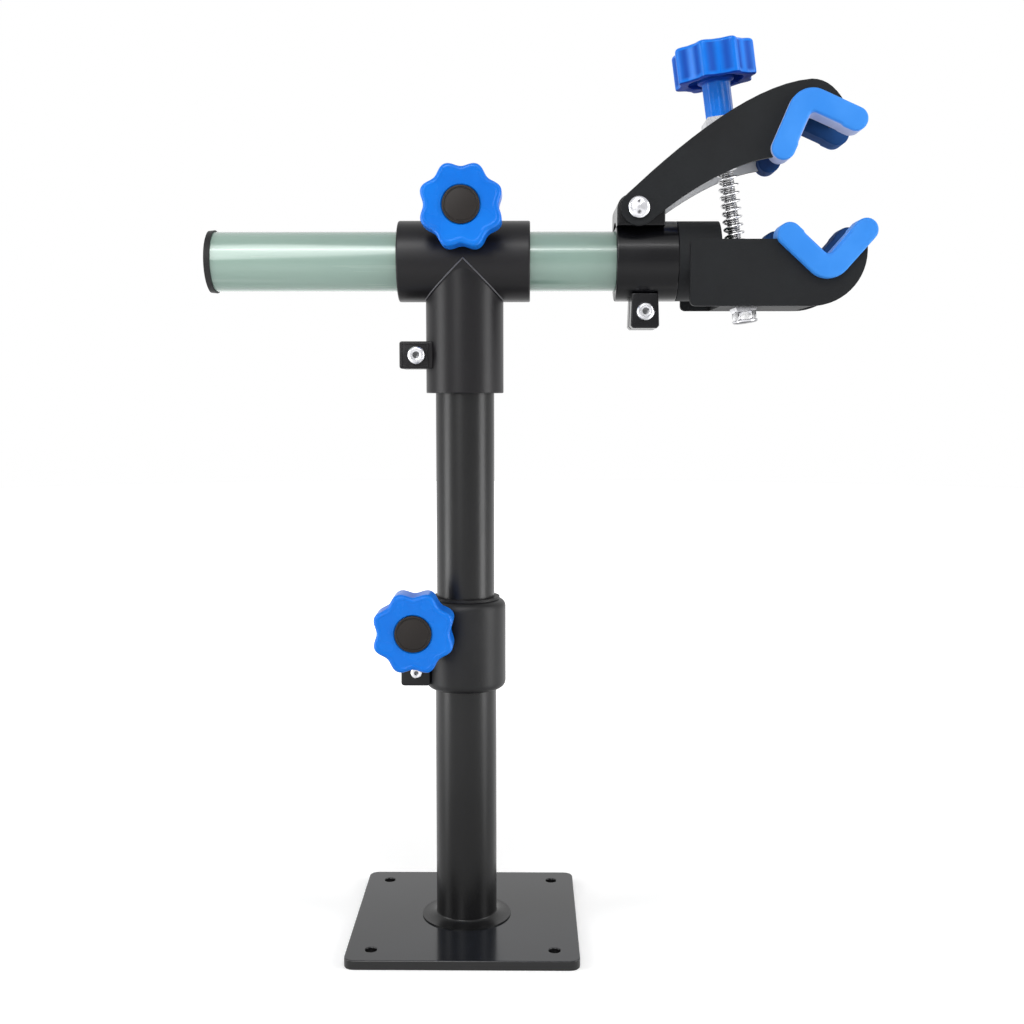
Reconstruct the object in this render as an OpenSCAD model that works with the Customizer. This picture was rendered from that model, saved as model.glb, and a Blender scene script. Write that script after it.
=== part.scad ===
// Bench-mounted bicycle repair stand: a bolted base plate, a telescoping post that swivels,
// a tee that carries a sliding and rolling arm, and a screw-operated clamp with V pads.
// The origin is the centre of the plate's underside. +Z is up and +X points to the clamp.

/* [Base plate] */
// Side of the square base plate
plate_w = 140; // [120:5:200]
// Thickness of the base plate
plate_t = 6; // [3:0.5:10]
// Radius of the plate's corners
plate_corner_r = 6; // [2:1:12]
// Diameter of each of the four anchor holes
anchor_hole_d = 7; // [4:0.5:10]
// Distance from an anchor hole's centre to the plate's edges
anchor_inset = 15; // [12:1:20]
// Width of the flared weld ring at the post's foot
foot_ring_w = 9; // [4:1:12]
// Height of the flared weld ring
foot_ring_h = 3; // [2:0.5:6]

/* [Post] */
// Outer diameter of the lower, outer tube
lower_od = 38.2; // [36:0.2:44]
// Wall of the lower tube
lower_wall = 1; // [1:0.1:1.6]
// Length of the lower tube above the plate
lower_len = 176; // [150:2:240]
// Wall of the upper, inner tube
upper_wall = 1.5; // [1:0.1:3]
// Length of the upper tube
upper_len = 300; // [260:5:330]
// Bare tube between the collar's top and the tee's socket
post_extension = 128; // [80:1:170]

/* [Collar] */
// Wall of the collar around the lower tube
collar_wall = 5.85; // [4:0.05:8]
// Height of the collar
collar_h = 56; // [50:1:70]
// Length of lower tube inside the collar
collar_grip = 28; // [22:1:30]
// Rounding of the collar's rims
collar_round = 3.2; // [1:0.1:3.5]
// Height of the small clamp bolt above the collar's bottom
collar_bolt_rise = 14; // [12:1:16]
// Height of the knob's axis above the collar's bottom
collar_knob_rise = 42; // [38:1:44]

/* [Tee] */
// Wall of the tee's sleeve outside its liner
tee_wall = 4.3; // [3:0.1:7]
// Length of the tee's sleeve
tee_len = 80; // [70:1:100]
// Wall of the tee's socket around the upper tube
socket_wall = 5.7; // [4:0.1:7]
// Distance from the arm's axis down to the socket's mouth
socket_drop = 80; // [74:1:100]
// Length of upper tube inside the socket
socket_grip = 52; // [45:1:53]
// Height of the side clamp bolt above the socket's mouth
tee_bolt_rise = 23; // [18:1:28]

/* [Liners] */
// Wall of each split liner
liner_wall = 2; // [1.5:0.1:3]
// Height of the lip on top of the collar's liner
liner_lip_h = 1.5; // [1:0.1:3]
// Width of the lip beyond the liner
liner_lip_w = 1.1; // [0.5:0.1:1.5]

/* [Arm] */
// Outer diameter of the arm tube
arm_od = 36; // [32:0.5:40]
// Wall of the arm tube
arm_wall = 1.5; // [1:0.1:3]
// Distance from the post's axis to the arm tube's back end
arm_back = 152; // [120:1:200]
// Length of the domed end cap outside the tube
cap_len = 5.5; // [3:0.5:8]
// Length of the end cap's plug
cap_plug_len = 14; // [8:1:25]

/* [Clamp head] */
// Distance from the post's axis to the clamp head
head_reach = 91.5; // [80:0.5:140]
// Wall of the head's sleeve around the arm tube
head_wall = 5.95; // [4:0.05:8]
// Length of the head's sleeve
head_len = 37.2; // [34:0.2:50]
// Distance from the sleeve's back face to the jaw pivot
pivot_inset = 12.5; // [11:0.5:14]
// Height of the jaw pivot above the arm's axis
pivot_rise = 29; // [28:0.5:32]
// Diameter of the jaw pivot bolt
pivot_d = 8; // [6:0.5:9]
// Width of the lug that carries the pivot
lug_w = 44; // [40:1:46]
// Length of the lower jaw's root collar on the arm tube
root_len = 25.3; // [20:0.1:32]

/* [Jaws] */
// Thickness of each jaw cheek
cheek_t = 3.5; // [2:0.1:5]
// Height of the lower cheek
cheek_h = 39.2; // [34:0.2:42]
// Depth of the lower cheek's bottom edge below the arm's axis
cheek_drop = 28.5; // [26:0.5:32]
// Length of the lower cheek
cheek_len = 104.2; // [98:0.2:130]
// Length of the root collar left bare behind the cheeks
cheek_setback = 6; // [4:0.5:10]
// Radius of the lower cheek's nose
nose_r = 32; // [20:1:33]
// Thickness of the webs between the cheeks
web_t = 3; // [2:0.2:4]
// Distance from the pivot to the upper pad's corner
jaw_reach = 120.4; // [116:0.2:130]
// Radius of the upper jaw's boss around the pivot
boss_r = 10.5; // [9:0.5:12]

/* [Pads] */
// Thickness of a pad's legs, seen from the side
pad_t = 14; // [10:0.5:15]
// Length of a pad's leg, from corner to tip centre
pad_leg = 32; // [28:0.5:34]
// Half of the angle between the pad's legs
pad_half_angle = 44.5; // [42:0.5:48]
// Width of one pad along the gripped tube
pad_w = 17; // [14:0.5:18]
// Rubber that stands out from the cheek's face
pad_proud = 5; // [3:0.5:7]
// Rubber over the cheek's V edge
pad_cover = 3.5; // [2.5:0.1:5]
// Radius of the pad's outer corner
pad_corner_r = 14; // [8:1:18]

/* [Screw and spring] */
// Thread diameter of the clamp screw and the knob bolts
rod_d = 8; // [6:0.5:8]
// Distance from the jaw pivot to the screw's foot, along X
rod_foot_reach = 66.4; // [62:0.2:70]
// Length of screw beyond the upper seat at rest
rod_tail = 17; // [12:0.5:19]
// Radius of the upper half-round seat
upper_seat_r = 10; // [9:0.5:11]
// Length of the upper half-round seat
upper_seat_len = 28; // [22:1:32]
// Radius of the lower half-round seat
lower_seat_r = 6.5; // [5.5:0.5:7]
// Length of the lower half-round seat
lower_seat_len = 24; // [18:1:30]
// Outer diameter of the spring
spring_od = 12.6; // [12:0.2:14]
// Wire diameter of the spring
spring_wire = 1.5; // [1:0.1:1.8]
// Number of the spring's curls
spring_curls = 19; // [12:1:26]

/* [Knobs] */
// Diameter of a knob over its lobes
knob_d = 50; // [44:1:56]
// Height of a knob's head
knob_h = 21; // [16:1:26]
// Depth of the hollows between the lobes
lobe_depth = 3.2; // [2:0.2:5]
// Diameter of a knob's hub
hub_d = 17; // [16:0.5:18]
// Length of the clamp knob's stem
stem_len = 22; // [18:1:30]
// Diameter of a knob's black cap
knob_cap_d = 22; // [18:0.5:24]
// Air between a knob's head and the collar or sleeve beside it
knob_air = 1.1; // [1:0.1:3]

/* [Fasteners] */
// Width of every clamp ear, across the slit
ear_w = 30; // [26:1:34]
// Width of the slits that let the sleeves close
slit_w = 3; // [2:0.5:4]
// Diameter of the clamp bolts of tee and head
bolt_d = 6; // [5:0.5:6.5]
// Diameter of the collar's small clamp bolt
small_bolt_d = 4; // [3:0.5:5]
// Thickness of the washers under the knobs
washer_t = 1.6; // [1:0.1:2.5]
// Diameter of the washers under the knobs
washer_d = 17; // [16:0.5:18]

/* [Hidden] */
// Fits, all radial or on one face
slide_gap = 0.1;
turn_gap = 0.05;
fixed_gap = 0.05;
seat_gap = 0.2;
rock_gap = 0.4;
loose_gap = 0.3;
// Overrun of every cut
over = 1;
// Fineness of round pieces
$fn = 64;
arc_steps = 8;
corner_steps = 4;
curve_steps = 14;

// Post and collar
upper_od = lower_od - 2 * lower_wall - 2 * slide_gap;
lower_top = plate_t + lower_len;
collar_bottom = lower_top - collar_grip;
collar_top = collar_bottom + collar_h;
collar_od = lower_od + 2 * fixed_gap + 2 * collar_wall;
post_liner_id = upper_od + 2 * slide_gap;
post_liner_od = post_liner_id + 2 * liner_wall;
socket_bottom = collar_top + post_extension;
upper_top = socket_bottom + socket_grip;

// Tee and arm
arm_z = socket_bottom + socket_drop;
tee_liner_id = arm_od + 2 * slide_gap;
tee_liner_od = tee_liner_id + 2 * liner_wall;
tee_bore = tee_liner_od + 2 * turn_gap;
tee_od = tee_bore + 2 * tee_wall;
socket_od = upper_od + 2 * fixed_gap + 2 * socket_wall;
rim_round = 1;

// Clamp head
head_x = head_reach;
head_end = head_x + head_len;
root_end = head_end + root_len;
head_od = arm_od + 2 * fixed_gap + 2 * head_wall;
tube_stop = 4;
arm_front = root_end - tube_stop;
pivot = [head_x + pivot_inset, arm_z + pivot_rise];
lug_margin = 8.5;
lug_len_share = 0.766;
cheek_gap = 0.5;
cheek_in = lug_w / 2 + cheek_gap;
cheek_out = cheek_in + cheek_t;

// Ears: web between bore and bolt, and material beyond the bolt
collar_web = 5.1;
small_web = 7.2;
tee_web = 3.8;
tee_side_web = 6;
head_web = 9.9;
ear_margin = 7;
tee_ear_len = 24;
collar_ear_inset = 3.5;
side_ear_h = 16.5;
head_ear_len = 17;
head_ear_margin = 10;
ear_round = 1.5;
knob_bolt_x = -(post_liner_od / 2 + turn_gap + rod_d / 2 + collar_web);
knob_bolt_z = collar_bottom + collar_knob_rise;
small_bolt_x = -(lower_od / 2 + fixed_gap + small_bolt_d / 2 + small_web);
small_bolt_z = collar_bottom + collar_bolt_rise;
arm_knob_z = arm_z + tee_bore / 2 + rod_d / 2 + tee_web;
tee_bolt_x = -(upper_od / 2 + fixed_gap + bolt_d / 2 + tee_side_web);
tee_bolt_z = socket_bottom + tee_bolt_rise;
head_bolt_shift = 0.8;
head_bolt_x = head_x + head_len / 2 - head_bolt_shift;
head_bolt_z = arm_z - (arm_od / 2 + fixed_gap + bolt_d / 2 + head_web);

// Lower jaw
cheek_x = head_end + cheek_setback;
cheek_end = cheek_x + cheek_len;
cheek_bottom = arm_z - cheek_drop;
cheek_top = cheek_bottom + cheek_h;
cheek_corner_r = 3;
lower_corner_back = 23.2;
lower_corner_rise = 19.9;
lower_corner = [cheek_end - lower_corner_back, cheek_bottom + lower_corner_rise];
lower_turn = 3;

// Upper jaw, with places in shares of its reach from the pivot
upper_corner_share = [0.798, 0.5224];
upper_corner = pivot + jaw_reach * upper_corner_share;
upper_turn = 201.5;
boss_start = 133;
boss_end = 306;
top_share = [[0.21, 0.314], [0.55, 0.59], [0.83, 0.61]];
nose_share = [[0.9, 0.61], [0.965, 0.565], [1.015, 0.45]];
under_share = [[0.233, 0.079], [0.48, 0.235], [0.7, 0.245]];
under_pad_share = [0.98, 0.39];
upper_seat_share = [0.425, 0.4355];
web_start_share = 0.36;

// Screw
seat_offset = 1.5;
rod_foot = [pivot[0] + rod_foot_reach, cheek_bottom + seat_offset];
upper_seat = pivot + jaw_reach * upper_seat_share;
rod_span = norm(upper_seat - rod_foot);
rod_lean = atan2(rod_foot[0] - upper_seat[0], upper_seat[1] - rod_foot[1]);
upper_seat_flat = 3;
lower_seat_flat = 3.5;
seat_wall = 3;
rod_nut_h = 5;
rod_nut_af = 13;
rod_head_d = 15.6;
rod_head_h = 2.2;
slot_margin_angle = 3;
close_swing = 13.5;
open_swing = 2.4;
foot_close_swing = 8.5;
foot_open_swing = 1.7;
slot_gap = 0.5;
slot_over = 4;

// Spring, from the lower boss to the upper boss
spring_r = (spring_od - spring_wire) / 2;
spring_low = lower_seat_r + loose_gap + seat_wall + loose_gap + spring_wire / 2;
spring_high = rod_span - upper_seat_r - rock_gap - seat_wall - loose_gap - spring_wire / 2;
spring_rings = 8;
spring_sides = 6;

// Knobs
ear_face = ear_w / 2;
hub_len = max(collar_od, tee_od) / 2 + knob_air - ear_face - washer_t;
insert_d = 12;
insert_len = 9;
knob_bore_gap = 0.4;
knob_top_wall = 3.5;
knob_bevel = 2;
knob_shell = 5;
knob_pocket_share = 0.55;
knob_web = 2.5;
cap_recess = 1.5;
cap_dome = 1;
bolt_tail = 14;
lobes = 8;
lobe_points = 10;

// Part of the foot ring's height that its rim keeps
foot_lip_share = 0.25;

// Reach of the cut above a pad's V, in legs
cut_reach_share = 3;

// Heads and nuts
bolt_head_share = 1.85;
head_h_share = 0.65;
nut_af_share = 1.65;
nut_h_share = 0.8;
hex_corner_share = 1.1547;
socket_share = 0.9;
socket_depth_share = 0.55;
bolt_end_share = 0.35;
dome_share = 0.45;

// Points of an arc, with both ends
function arc(centre, r, a0, a1, steps) =
    [for (i = [0 : steps]) centre + r * [cos(a0 + (a1 - a0) * i / steps), sin(a0 + (a1 - a0) * i / steps)]];

// Point on a cubic curve through p0 and p3, drawn to p1 and p2
function cubic(p0, p1, p2, p3, t) =
    pow(1 - t, 3) * p0 + 3 * pow(1 - t, 2) * t * p1 + 3 * (1 - t) * t * t * p2 + pow(t, 3) * p3;

function curve(p0, p1, p2, p3, steps) = [for (i = [0 : steps]) cubic(p0, p1, p2, p3, i / steps)];

// Rectangle with round corners, as points
function round_box(x0, y0, x1, y1, r) = concat(
    arc([x1 - r, y1 - r], r, 0, 90, corner_steps),
    arc([x0 + r, y1 - r], r, 90, 180, corner_steps),
    arc([x0 + r, y0 + r], r, 180, 270, corner_steps),
    arc([x1 - r, y0 + r], r, 270, 360, corner_steps));

function unit(v) = v / norm(v);
function left_of(v) = [-v[1], v[0]];
function at_angle(a) = [cos(a), sin(a)];

// A band of even thickness to the right of a line of points
function band(points, t) = concat(points, [for (i = [len(points) - 1 : -1 : 0])
    points[i] - t * left_of(unit(points[min(i + 1, len(points) - 1)] - points[max(i - 1, 0)]))]);

// An XZ outline, extruded along Y between two places
module slab(y0, y1) {
    translate([0, y1, 0]) rotate([90, 0, 0]) linear_extrude(y1 - y0) children();
}

// A cylinder along X between two places
module x_bar(x0, x1, d, z) {
    translate([x0, 0, z]) rotate([0, 90, 0]) cylinder(h = x1 - x0, d = d);
}

// A cylinder along Y between two places
module y_bar(x, z, y0, y1, d) {
    translate([x, y1, z]) rotate([90, 0, 0]) cylinder(h = y1 - y0, d = d);
}

// A tube about Z with rounded outer rims
module rounded_tube(z0, z1, d_in, d_out, r) {
    rotate_extrude()
        polygon(concat(
            [[d_in / 2, z1], [d_in / 2, z0]],
            arc([d_out / 2 - r, z0 + r], r, 270, 360, corner_steps),
            arc([d_out / 2 - r, z1 - r], r, 0, 90, corner_steps)));
}

// The same tube as a solid bar
module rounded_bar(h, d, r) {
    rounded_tube(0, h, 0, d, r);
}

// A bolt along Y, with its domed socket head to the front and its end behind the nut
module bolt(x, z, d, y_head, y_end) {
    head_d = d * bolt_head_share;
    head_h = d * head_h_share;
    difference() {
        union() {
            y_bar(x, z, y_head, y_end, d);
            translate([x, y_head, z]) rotate([90, 0, 0]) dome(head_d, head_h);
        }
        translate([x, y_head - head_h - over, z]) rotate([-90, 0, 0])
            cylinder(h = over + head_h * socket_depth_share, d = d * socket_share, $fn = 6);
    }
}

// A domed head on a flat base
module dome(d, h) {
    rotate_extrude()
        polygon(concat([[0, h], [0, 0], [d / 2, 0]],
            [for (i = [1 : arc_steps - 1])
                [d / 2 * cos(90 * i / arc_steps), h * (1 - dome_share) + h * dome_share * sin(90 * i / arc_steps)]]));
}

// A hexagon nut along Y from its seat to the back
module nut(x, z, d, y0) {
    h = d * nut_h_share;
    difference() {
        translate([x, y0 + h, z]) rotate([90, 0, 0])
            cylinder(h = h, d = d * nut_af_share * hex_corner_share, $fn = 6);
        y_bar(x, z, y0 - over, y0 + h + over, d + 2 * turn_gap);
    }
}

// Base

module base_plate() {
    half = plate_w / 2;
    place = half - anchor_inset;
    color([0.16, 0.18, 0.19]) difference() {
        linear_extrude(plate_t) polygon(round_box(-half, -half, half, half, plate_corner_r));
        for (x = [-place, place], y = [-place, place])
            translate([x, y, -over]) cylinder(h = plate_t + 2 * over, d = anchor_hole_d);
    }
}

module foot_ring() {
    r_in = lower_od / 2 + fixed_gap;
    lip = foot_ring_h * foot_lip_share;
    color([0.1, 0.1, 0.1]) translate([0, 0, plate_t]) rotate_extrude()
        polygon(concat([[r_in, 0], [r_in + foot_ring_w, 0]],
            [for (i = [0 : arc_steps])
                [r_in + foot_ring_w * (1 - sin(90 * i / arc_steps)),
                 foot_ring_h - (foot_ring_h - lip) * cos(90 * i / arc_steps)]]));
}

module lower_tube() {
    color([0.13, 0.13, 0.13]) translate([0, 0, plate_t]) difference() {
        cylinder(h = lower_len, d = lower_od);
        translate([0, 0, -over])
            cylinder(h = lower_len + 2 * over, d = lower_od - 2 * lower_wall);
    }
}

// Collar with its clamp bolt, liner and knob bolt

module post_collar() {
    ear_x = knob_bolt_x - ear_margin;
    liner_bore = post_liner_od + 2 * turn_gap;
    color([0.17, 0.17, 0.17]) difference() {
        union() {
            rounded_tube(collar_bottom, collar_top, 0, collar_od, collar_round);
            slab(-ear_face, ear_face) polygon(round_box(ear_x, collar_bottom + ear_margin,
                -post_liner_od / 2, collar_top - collar_ear_inset, ear_round));
        }
        translate([0, 0, collar_bottom - over])
            cylinder(h = collar_grip + 2 * over, d = lower_od + 2 * fixed_gap);
        translate([0, 0, lower_top]) cylinder(h = collar_h, d = liner_bore);
        translate([ear_x - over, -slit_w / 2, collar_bottom - over])
            cube([-ear_x, slit_w, collar_h + 2 * over]);
        y_bar(knob_bolt_x, knob_bolt_z, -ear_face - over, ear_face + over, rod_d + 2 * fixed_gap);
        y_bar(small_bolt_x, small_bolt_z, -ear_face - over, ear_face + over,
            small_bolt_d + 2 * fixed_gap);
    }
}

module collar_bolt() {
    tail = small_bolt_d * (nut_h_share + bolt_end_share);
    color([0.8, 0.8, 0.82])
        bolt(small_bolt_x, small_bolt_z, small_bolt_d, -ear_face, ear_face + tail);
}

module collar_nut() {
    color([0.78, 0.78, 0.8]) nut(small_bolt_x, small_bolt_z, small_bolt_d, ear_face);
}

module collar_liner() {
    color([0.12, 0.12, 0.12]) difference() {
        union() {
            translate([0, 0, lower_top + seat_gap])
                cylinder(h = collar_top - lower_top, d = post_liner_od);
            translate([0, 0, collar_top + seat_gap])
                cylinder(h = liner_lip_h, d = post_liner_od + 2 * liner_lip_w);
        }
        translate([0, 0, lower_top])
            cylinder(h = collar_h + liner_lip_h + over, d = post_liner_id);
    }
}

// Post

module upper_tube() {
    color([0.14, 0.14, 0.14]) translate([0, 0, upper_top - upper_len]) difference() {
        cylinder(h = upper_len, d = upper_od);
        translate([0, 0, -over])
            cylinder(h = upper_len + 2 * over, d = upper_od - 2 * upper_wall);
    }
}

module tee_joint() {
    side_x = tee_bolt_x - ear_margin;
    side_z0 = tee_bolt_z - side_ear_h / 2;
    slit_top = tee_bolt_z + side_ear_h;
    color([0.13, 0.13, 0.14]) difference() {
        union() {
            translate([-tee_len / 2, 0, arm_z]) rotate([0, 90, 0])
                rounded_bar(tee_len, tee_od, rim_round);
            translate([0, 0, socket_bottom]) cylinder(h = socket_drop, d = socket_od);
            slab(-ear_face, ear_face) polygon(round_box(side_x, side_z0,
                -upper_od / 2 - fixed_gap, side_z0 + side_ear_h, ear_round));
            slab(-ear_face, ear_face) polygon(round_box(-tee_ear_len / 2, arm_z + tee_bore / 2,
                tee_ear_len / 2, arm_knob_z + ear_margin, ear_round));
        }
        x_bar(-tee_len / 2 - over, tee_len / 2 + over, tee_bore, arm_z);
        translate([0, 0, socket_bottom - over])
            cylinder(h = socket_grip + over, d = upper_od + 2 * fixed_gap);
        translate([side_x - over, -slit_w / 2, socket_bottom - over])
            cube([-side_x, slit_w, slit_top - socket_bottom + over]);
        translate([-tee_len / 2 - over, -slit_w / 2, arm_z + tee_bore / 2 - over])
            cube([tee_len + 2 * over, slit_w, arm_knob_z + ear_margin - arm_z]);
        y_bar(tee_bolt_x, tee_bolt_z, -ear_face - over, ear_face + over, bolt_d + 2 * fixed_gap);
        y_bar(0, arm_knob_z, -ear_face - over, ear_face + over, rod_d + 2 * fixed_gap);
    }
}

module tee_bolt() {
    color([0.8, 0.8, 0.82]) bolt(tee_bolt_x, tee_bolt_z, bolt_d, -ear_face,
        ear_face + bolt_d * (nut_h_share + bolt_end_share));
}

module tee_nut() {
    color([0.78, 0.78, 0.8]) nut(tee_bolt_x, tee_bolt_z, bolt_d, ear_face);
}

module tee_liner() {
    color([0.12, 0.12, 0.12]) difference() {
        x_bar(-tee_len / 2, tee_len / 2, tee_liner_od, arm_z);
        x_bar(-tee_len / 2 - over, tee_len / 2 + over, tee_liner_id, arm_z);
    }
}

// Knobs, drawn along +Z from the face that their hub bears on

function lobe_r(a) = knob_d / 2 - lobe_depth * (1 + cos(lobes * a)) / 2;

module knob_outline() {
    count = lobes * lobe_points;
    polygon([for (i = [0 : count - 1]) lobe_r(360 * i / count) * at_angle(360 * i / count)]);
}

module knob(hub) {
    top = hub + knob_h;
    color([0.02, 0.42, 0.9]) difference() {
        union() {
            cylinder(h = hub + knob_h / 2, d = hub_d);
            intersection() {
                translate([0, 0, hub]) linear_extrude(knob_h) knob_outline();
                rotate_extrude() polygon([[0, hub], [knob_d / 2 - knob_bevel / 2, hub],
                    [knob_d / 2, hub + knob_bevel / 2], [knob_d / 2, top - knob_bevel],
                    [knob_d / 2 - knob_bevel, top], [0, top]]);
            }
        }
        difference() {
            translate([0, 0, hub - over])
                cylinder(h = knob_h * knob_pocket_share + over, d = knob_d - 2 * lobe_depth - 2 * knob_shell);
            cylinder(h = top, d = hub_d + 2 * knob_web);
        }
        translate([0, 0, -over]) cylinder(h = insert_len + over, d = insert_d + 2 * fixed_gap);
        cylinder(h = top - knob_top_wall - cap_recess, d = rod_d + 2 * knob_bore_gap);
        translate([0, 0, top - cap_recess])
            cylinder(h = cap_recess + over, d = knob_cap_d + 2 * fixed_gap);
    }
}

module knob_insert() {
    color([0.8, 0.8, 0.82]) difference() {
        cylinder(h = insert_len, d = insert_d);
        translate([0, 0, -over]) cylinder(h = insert_len + 2 * over, d = rod_d + 2 * turn_gap);
    }
}

module knob_cap(hub) {
    color([0.08, 0.08, 0.08]) translate([0, 0, hub + knob_h - cap_recess])
        dome(knob_cap_d, cap_recess + cap_dome);
}

module knob_washer() {
    color([0.8, 0.8, 0.82]) difference() {
        cylinder(h = washer_t, d = washer_d);
        translate([0, 0, -over]) cylinder(h = washer_t + 2 * over, d = rod_d + 2 * slide_gap);
    }
}

// The bolt that a clamp knob runs on, with its hexagon head behind the ears
module knob_bolt() {
    head_h = rod_d * head_h_share;
    color([0.8, 0.8, 0.82]) union() {
        cylinder(h = ear_w + washer_t + bolt_tail, d = rod_d);
        translate([0, 0, -head_h])
            cylinder(h = head_h, d = rod_d * nut_af_share * hex_corner_share, $fn = 6);
    }
}

// Places at the ears' faces, looking out of the front
module at_post_knob(y) {
    translate([knob_bolt_x, y, knob_bolt_z]) rotate([90, 0, 0]) children();
}

module at_arm_knob(y) {
    translate([0, y, arm_knob_z]) rotate([90, 0, 0]) children();
}

module post_knob_bolt() {
    at_post_knob(ear_face) knob_bolt();
}

module post_knob_washer() {
    at_post_knob(-ear_face) knob_washer();
}

module post_knob() {
    at_post_knob(-ear_face - washer_t) knob(hub_len);
}

module post_knob_insert() {
    at_post_knob(-ear_face - washer_t) knob_insert();
}

module post_knob_cap() {
    at_post_knob(-ear_face - washer_t) knob_cap(hub_len);
}

module arm_knob_bolt() {
    at_arm_knob(ear_face) knob_bolt();
}

module arm_knob_washer() {
    at_arm_knob(-ear_face) knob_washer();
}

module arm_knob() {
    at_arm_knob(-ear_face - washer_t) knob(hub_len);
}

module arm_knob_insert() {
    at_arm_knob(-ear_face - washer_t) knob_insert();
}

module arm_knob_cap() {
    at_arm_knob(-ear_face - washer_t) knob_cap(hub_len);
}

// Arm

module arm_tube() {
    color([0.6, 0.72, 0.68]) difference() {
        x_bar(-arm_back, arm_front, arm_od, arm_z);
        x_bar(-arm_back - over, arm_front + over, arm_od - 2 * arm_wall, arm_z);
    }
}

module arm_end_cap() {
    color([0.07, 0.07, 0.07]) union() {
        x_bar(-arm_back, cap_plug_len - arm_back, arm_od - 2 * arm_wall - 2 * fixed_gap, arm_z);
        translate([-arm_back, 0, arm_z]) rotate([0, -90, 0]) dome(arm_od + 2 * rim_round, cap_len);
    }
}

module head_sleeve() {
    lug_end = head_x + head_len * lug_len_share;
    lug_top = pivot[1] + lug_margin;
    ear_x = head_bolt_x - head_ear_len / 2;
    ear_z = head_bolt_z - head_ear_margin;
    color([0.1, 0.1, 0.11]) difference() {
        union() {
            x_bar(head_x, head_end, head_od, arm_z);
            slab(-lug_w / 2, lug_w / 2) polygon(concat(
                arc([head_x + lug_margin, lug_top - lug_margin], lug_margin, 90, 180, corner_steps),
                [[head_x, arm_z + arm_od / 2], [lug_end, arm_z + arm_od / 2], [lug_end, pivot[1]]],
                arc([lug_end - lug_margin, lug_top - lug_margin], lug_margin, 0, 90, corner_steps)));
            slab(-ear_face, ear_face) polygon(round_box(ear_x, ear_z, ear_x + head_ear_len,
                arm_z - arm_od / 2, ear_round));
        }
        x_bar(head_x - over, head_end + over, arm_od + 2 * fixed_gap, arm_z);
        translate([head_x - over, -slit_w / 2, ear_z - over])
            cube([head_len + 2 * over, slit_w, arm_z - ear_z - arm_od / 2 + 2 * over]);
        y_bar(pivot[0], pivot[1], -lug_w / 2 - over, lug_w / 2 + over, pivot_d + 2 * fixed_gap);
        y_bar(head_bolt_x, head_bolt_z, -ear_face - over, ear_face + over, bolt_d + 2 * fixed_gap);
    }
}

module head_bolt() {
    color([0.8, 0.8, 0.82]) bolt(head_bolt_x, head_bolt_z, bolt_d, -ear_face,
        ear_face + bolt_d * (nut_h_share + bolt_end_share));
}

module head_nut() {
    color([0.78, 0.78, 0.8]) nut(head_bolt_x, head_bolt_z, bolt_d, ear_face);
}

module pivot_bolt() {
    seat = cheek_out + loose_gap;
    head_h = pivot_d * dome_share;
    color([0.8, 0.8, 0.82]) union() {
        y_bar(pivot[0], pivot[1], -seat, seat + pivot_d * (nut_h_share + bolt_end_share), pivot_d);
        translate([pivot[0], -seat, pivot[1]]) rotate([90, 0, 0])
            dome(pivot_d * nut_af_share, head_h);
    }
}

module pivot_nut() {
    color([0.78, 0.78, 0.8]) nut(pivot[0], pivot[1], pivot_d, cheek_out + loose_gap);
}

// Jaws

// The V of a pad from the side, with its corner at the origin and its mouth upward
module pad_outline() {
    half = pad_t / 2;
    right = 90 - pad_half_angle;
    left = 90 + pad_half_angle;
    corner_y = (pad_corner_r - half) / sin(pad_half_angle);
    polygon(concat(
        [[0, half / sin(pad_half_angle)]],
        arc(pad_leg * at_angle(right), half, right + 90, right - 90, arc_steps),
        arc([0, corner_y], pad_corner_r, right - 90, left - 270, arc_steps),
        arc(pad_leg * at_angle(left), half, left + 90, left - 90, arc_steps)));
}

// The open V above a cheek's edge, in the same place
module edge_cut() {
    rise = (pad_t / 2 - pad_cover) / sin(pad_half_angle);
    reach = pad_leg * cut_reach_share;
    polygon([[0, rise], [0, rise] + reach * at_angle(90 - pad_half_angle), [0, 2 * reach],
        [0, rise] + reach * at_angle(90 + pad_half_angle)]);
}

module at_lower_corner() {
    translate(lower_corner) rotate(lower_turn) children();
}

module at_upper_corner() {
    translate(upper_corner) rotate(upper_turn) children();
}

module lower_cheek_outline() {
    r = cheek_corner_r;
    difference() {
        polygon(concat(
            arc([cheek_x + r, cheek_top - r], r, 90, 180, corner_steps),
            arc([cheek_x + r, cheek_bottom + r], r, 180, 270, corner_steps),
            arc([cheek_end - nose_r, cheek_bottom + nose_r], nose_r, 270, 360, curve_steps),
            [[cheek_end, cheek_top]]));
        at_lower_corner() edge_cut();
    }
}

// The upper jaw's top line, from the pivot's boss over the hump to its end behind the pad
boss_top = pivot + boss_r * at_angle(boss_start);
function in_jaw(share) = pivot + jaw_reach * share;
top_line = curve(boss_top, in_jaw(top_share[0]), in_jaw(top_share[1]), in_jaw(top_share[2]), curve_steps);
nose_line = curve(in_jaw(top_share[2]), in_jaw(nose_share[0]), in_jaw(nose_share[1]),
    in_jaw(nose_share[2]), arc_steps);
over_line = concat(top_line, [for (i = [1 : arc_steps]) nose_line[i]]);
under_line = curve(pivot + boss_r * at_angle(boss_end), in_jaw(under_share[0]),
    in_jaw(under_share[1]), in_jaw(under_share[2]), curve_steps);

module upper_cheek_outline() {
    difference() {
        polygon(concat(
            arc(pivot, boss_r, boss_start, boss_end, 2 * arc_steps),
            [for (i = [1 : curve_steps]) under_line[i]],
            [in_jaw(under_pad_share)],
            [for (i = [len(over_line) - 1 : -1 : 1]) over_line[i]]));
        at_upper_corner() edge_cut();
    }
}

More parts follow.
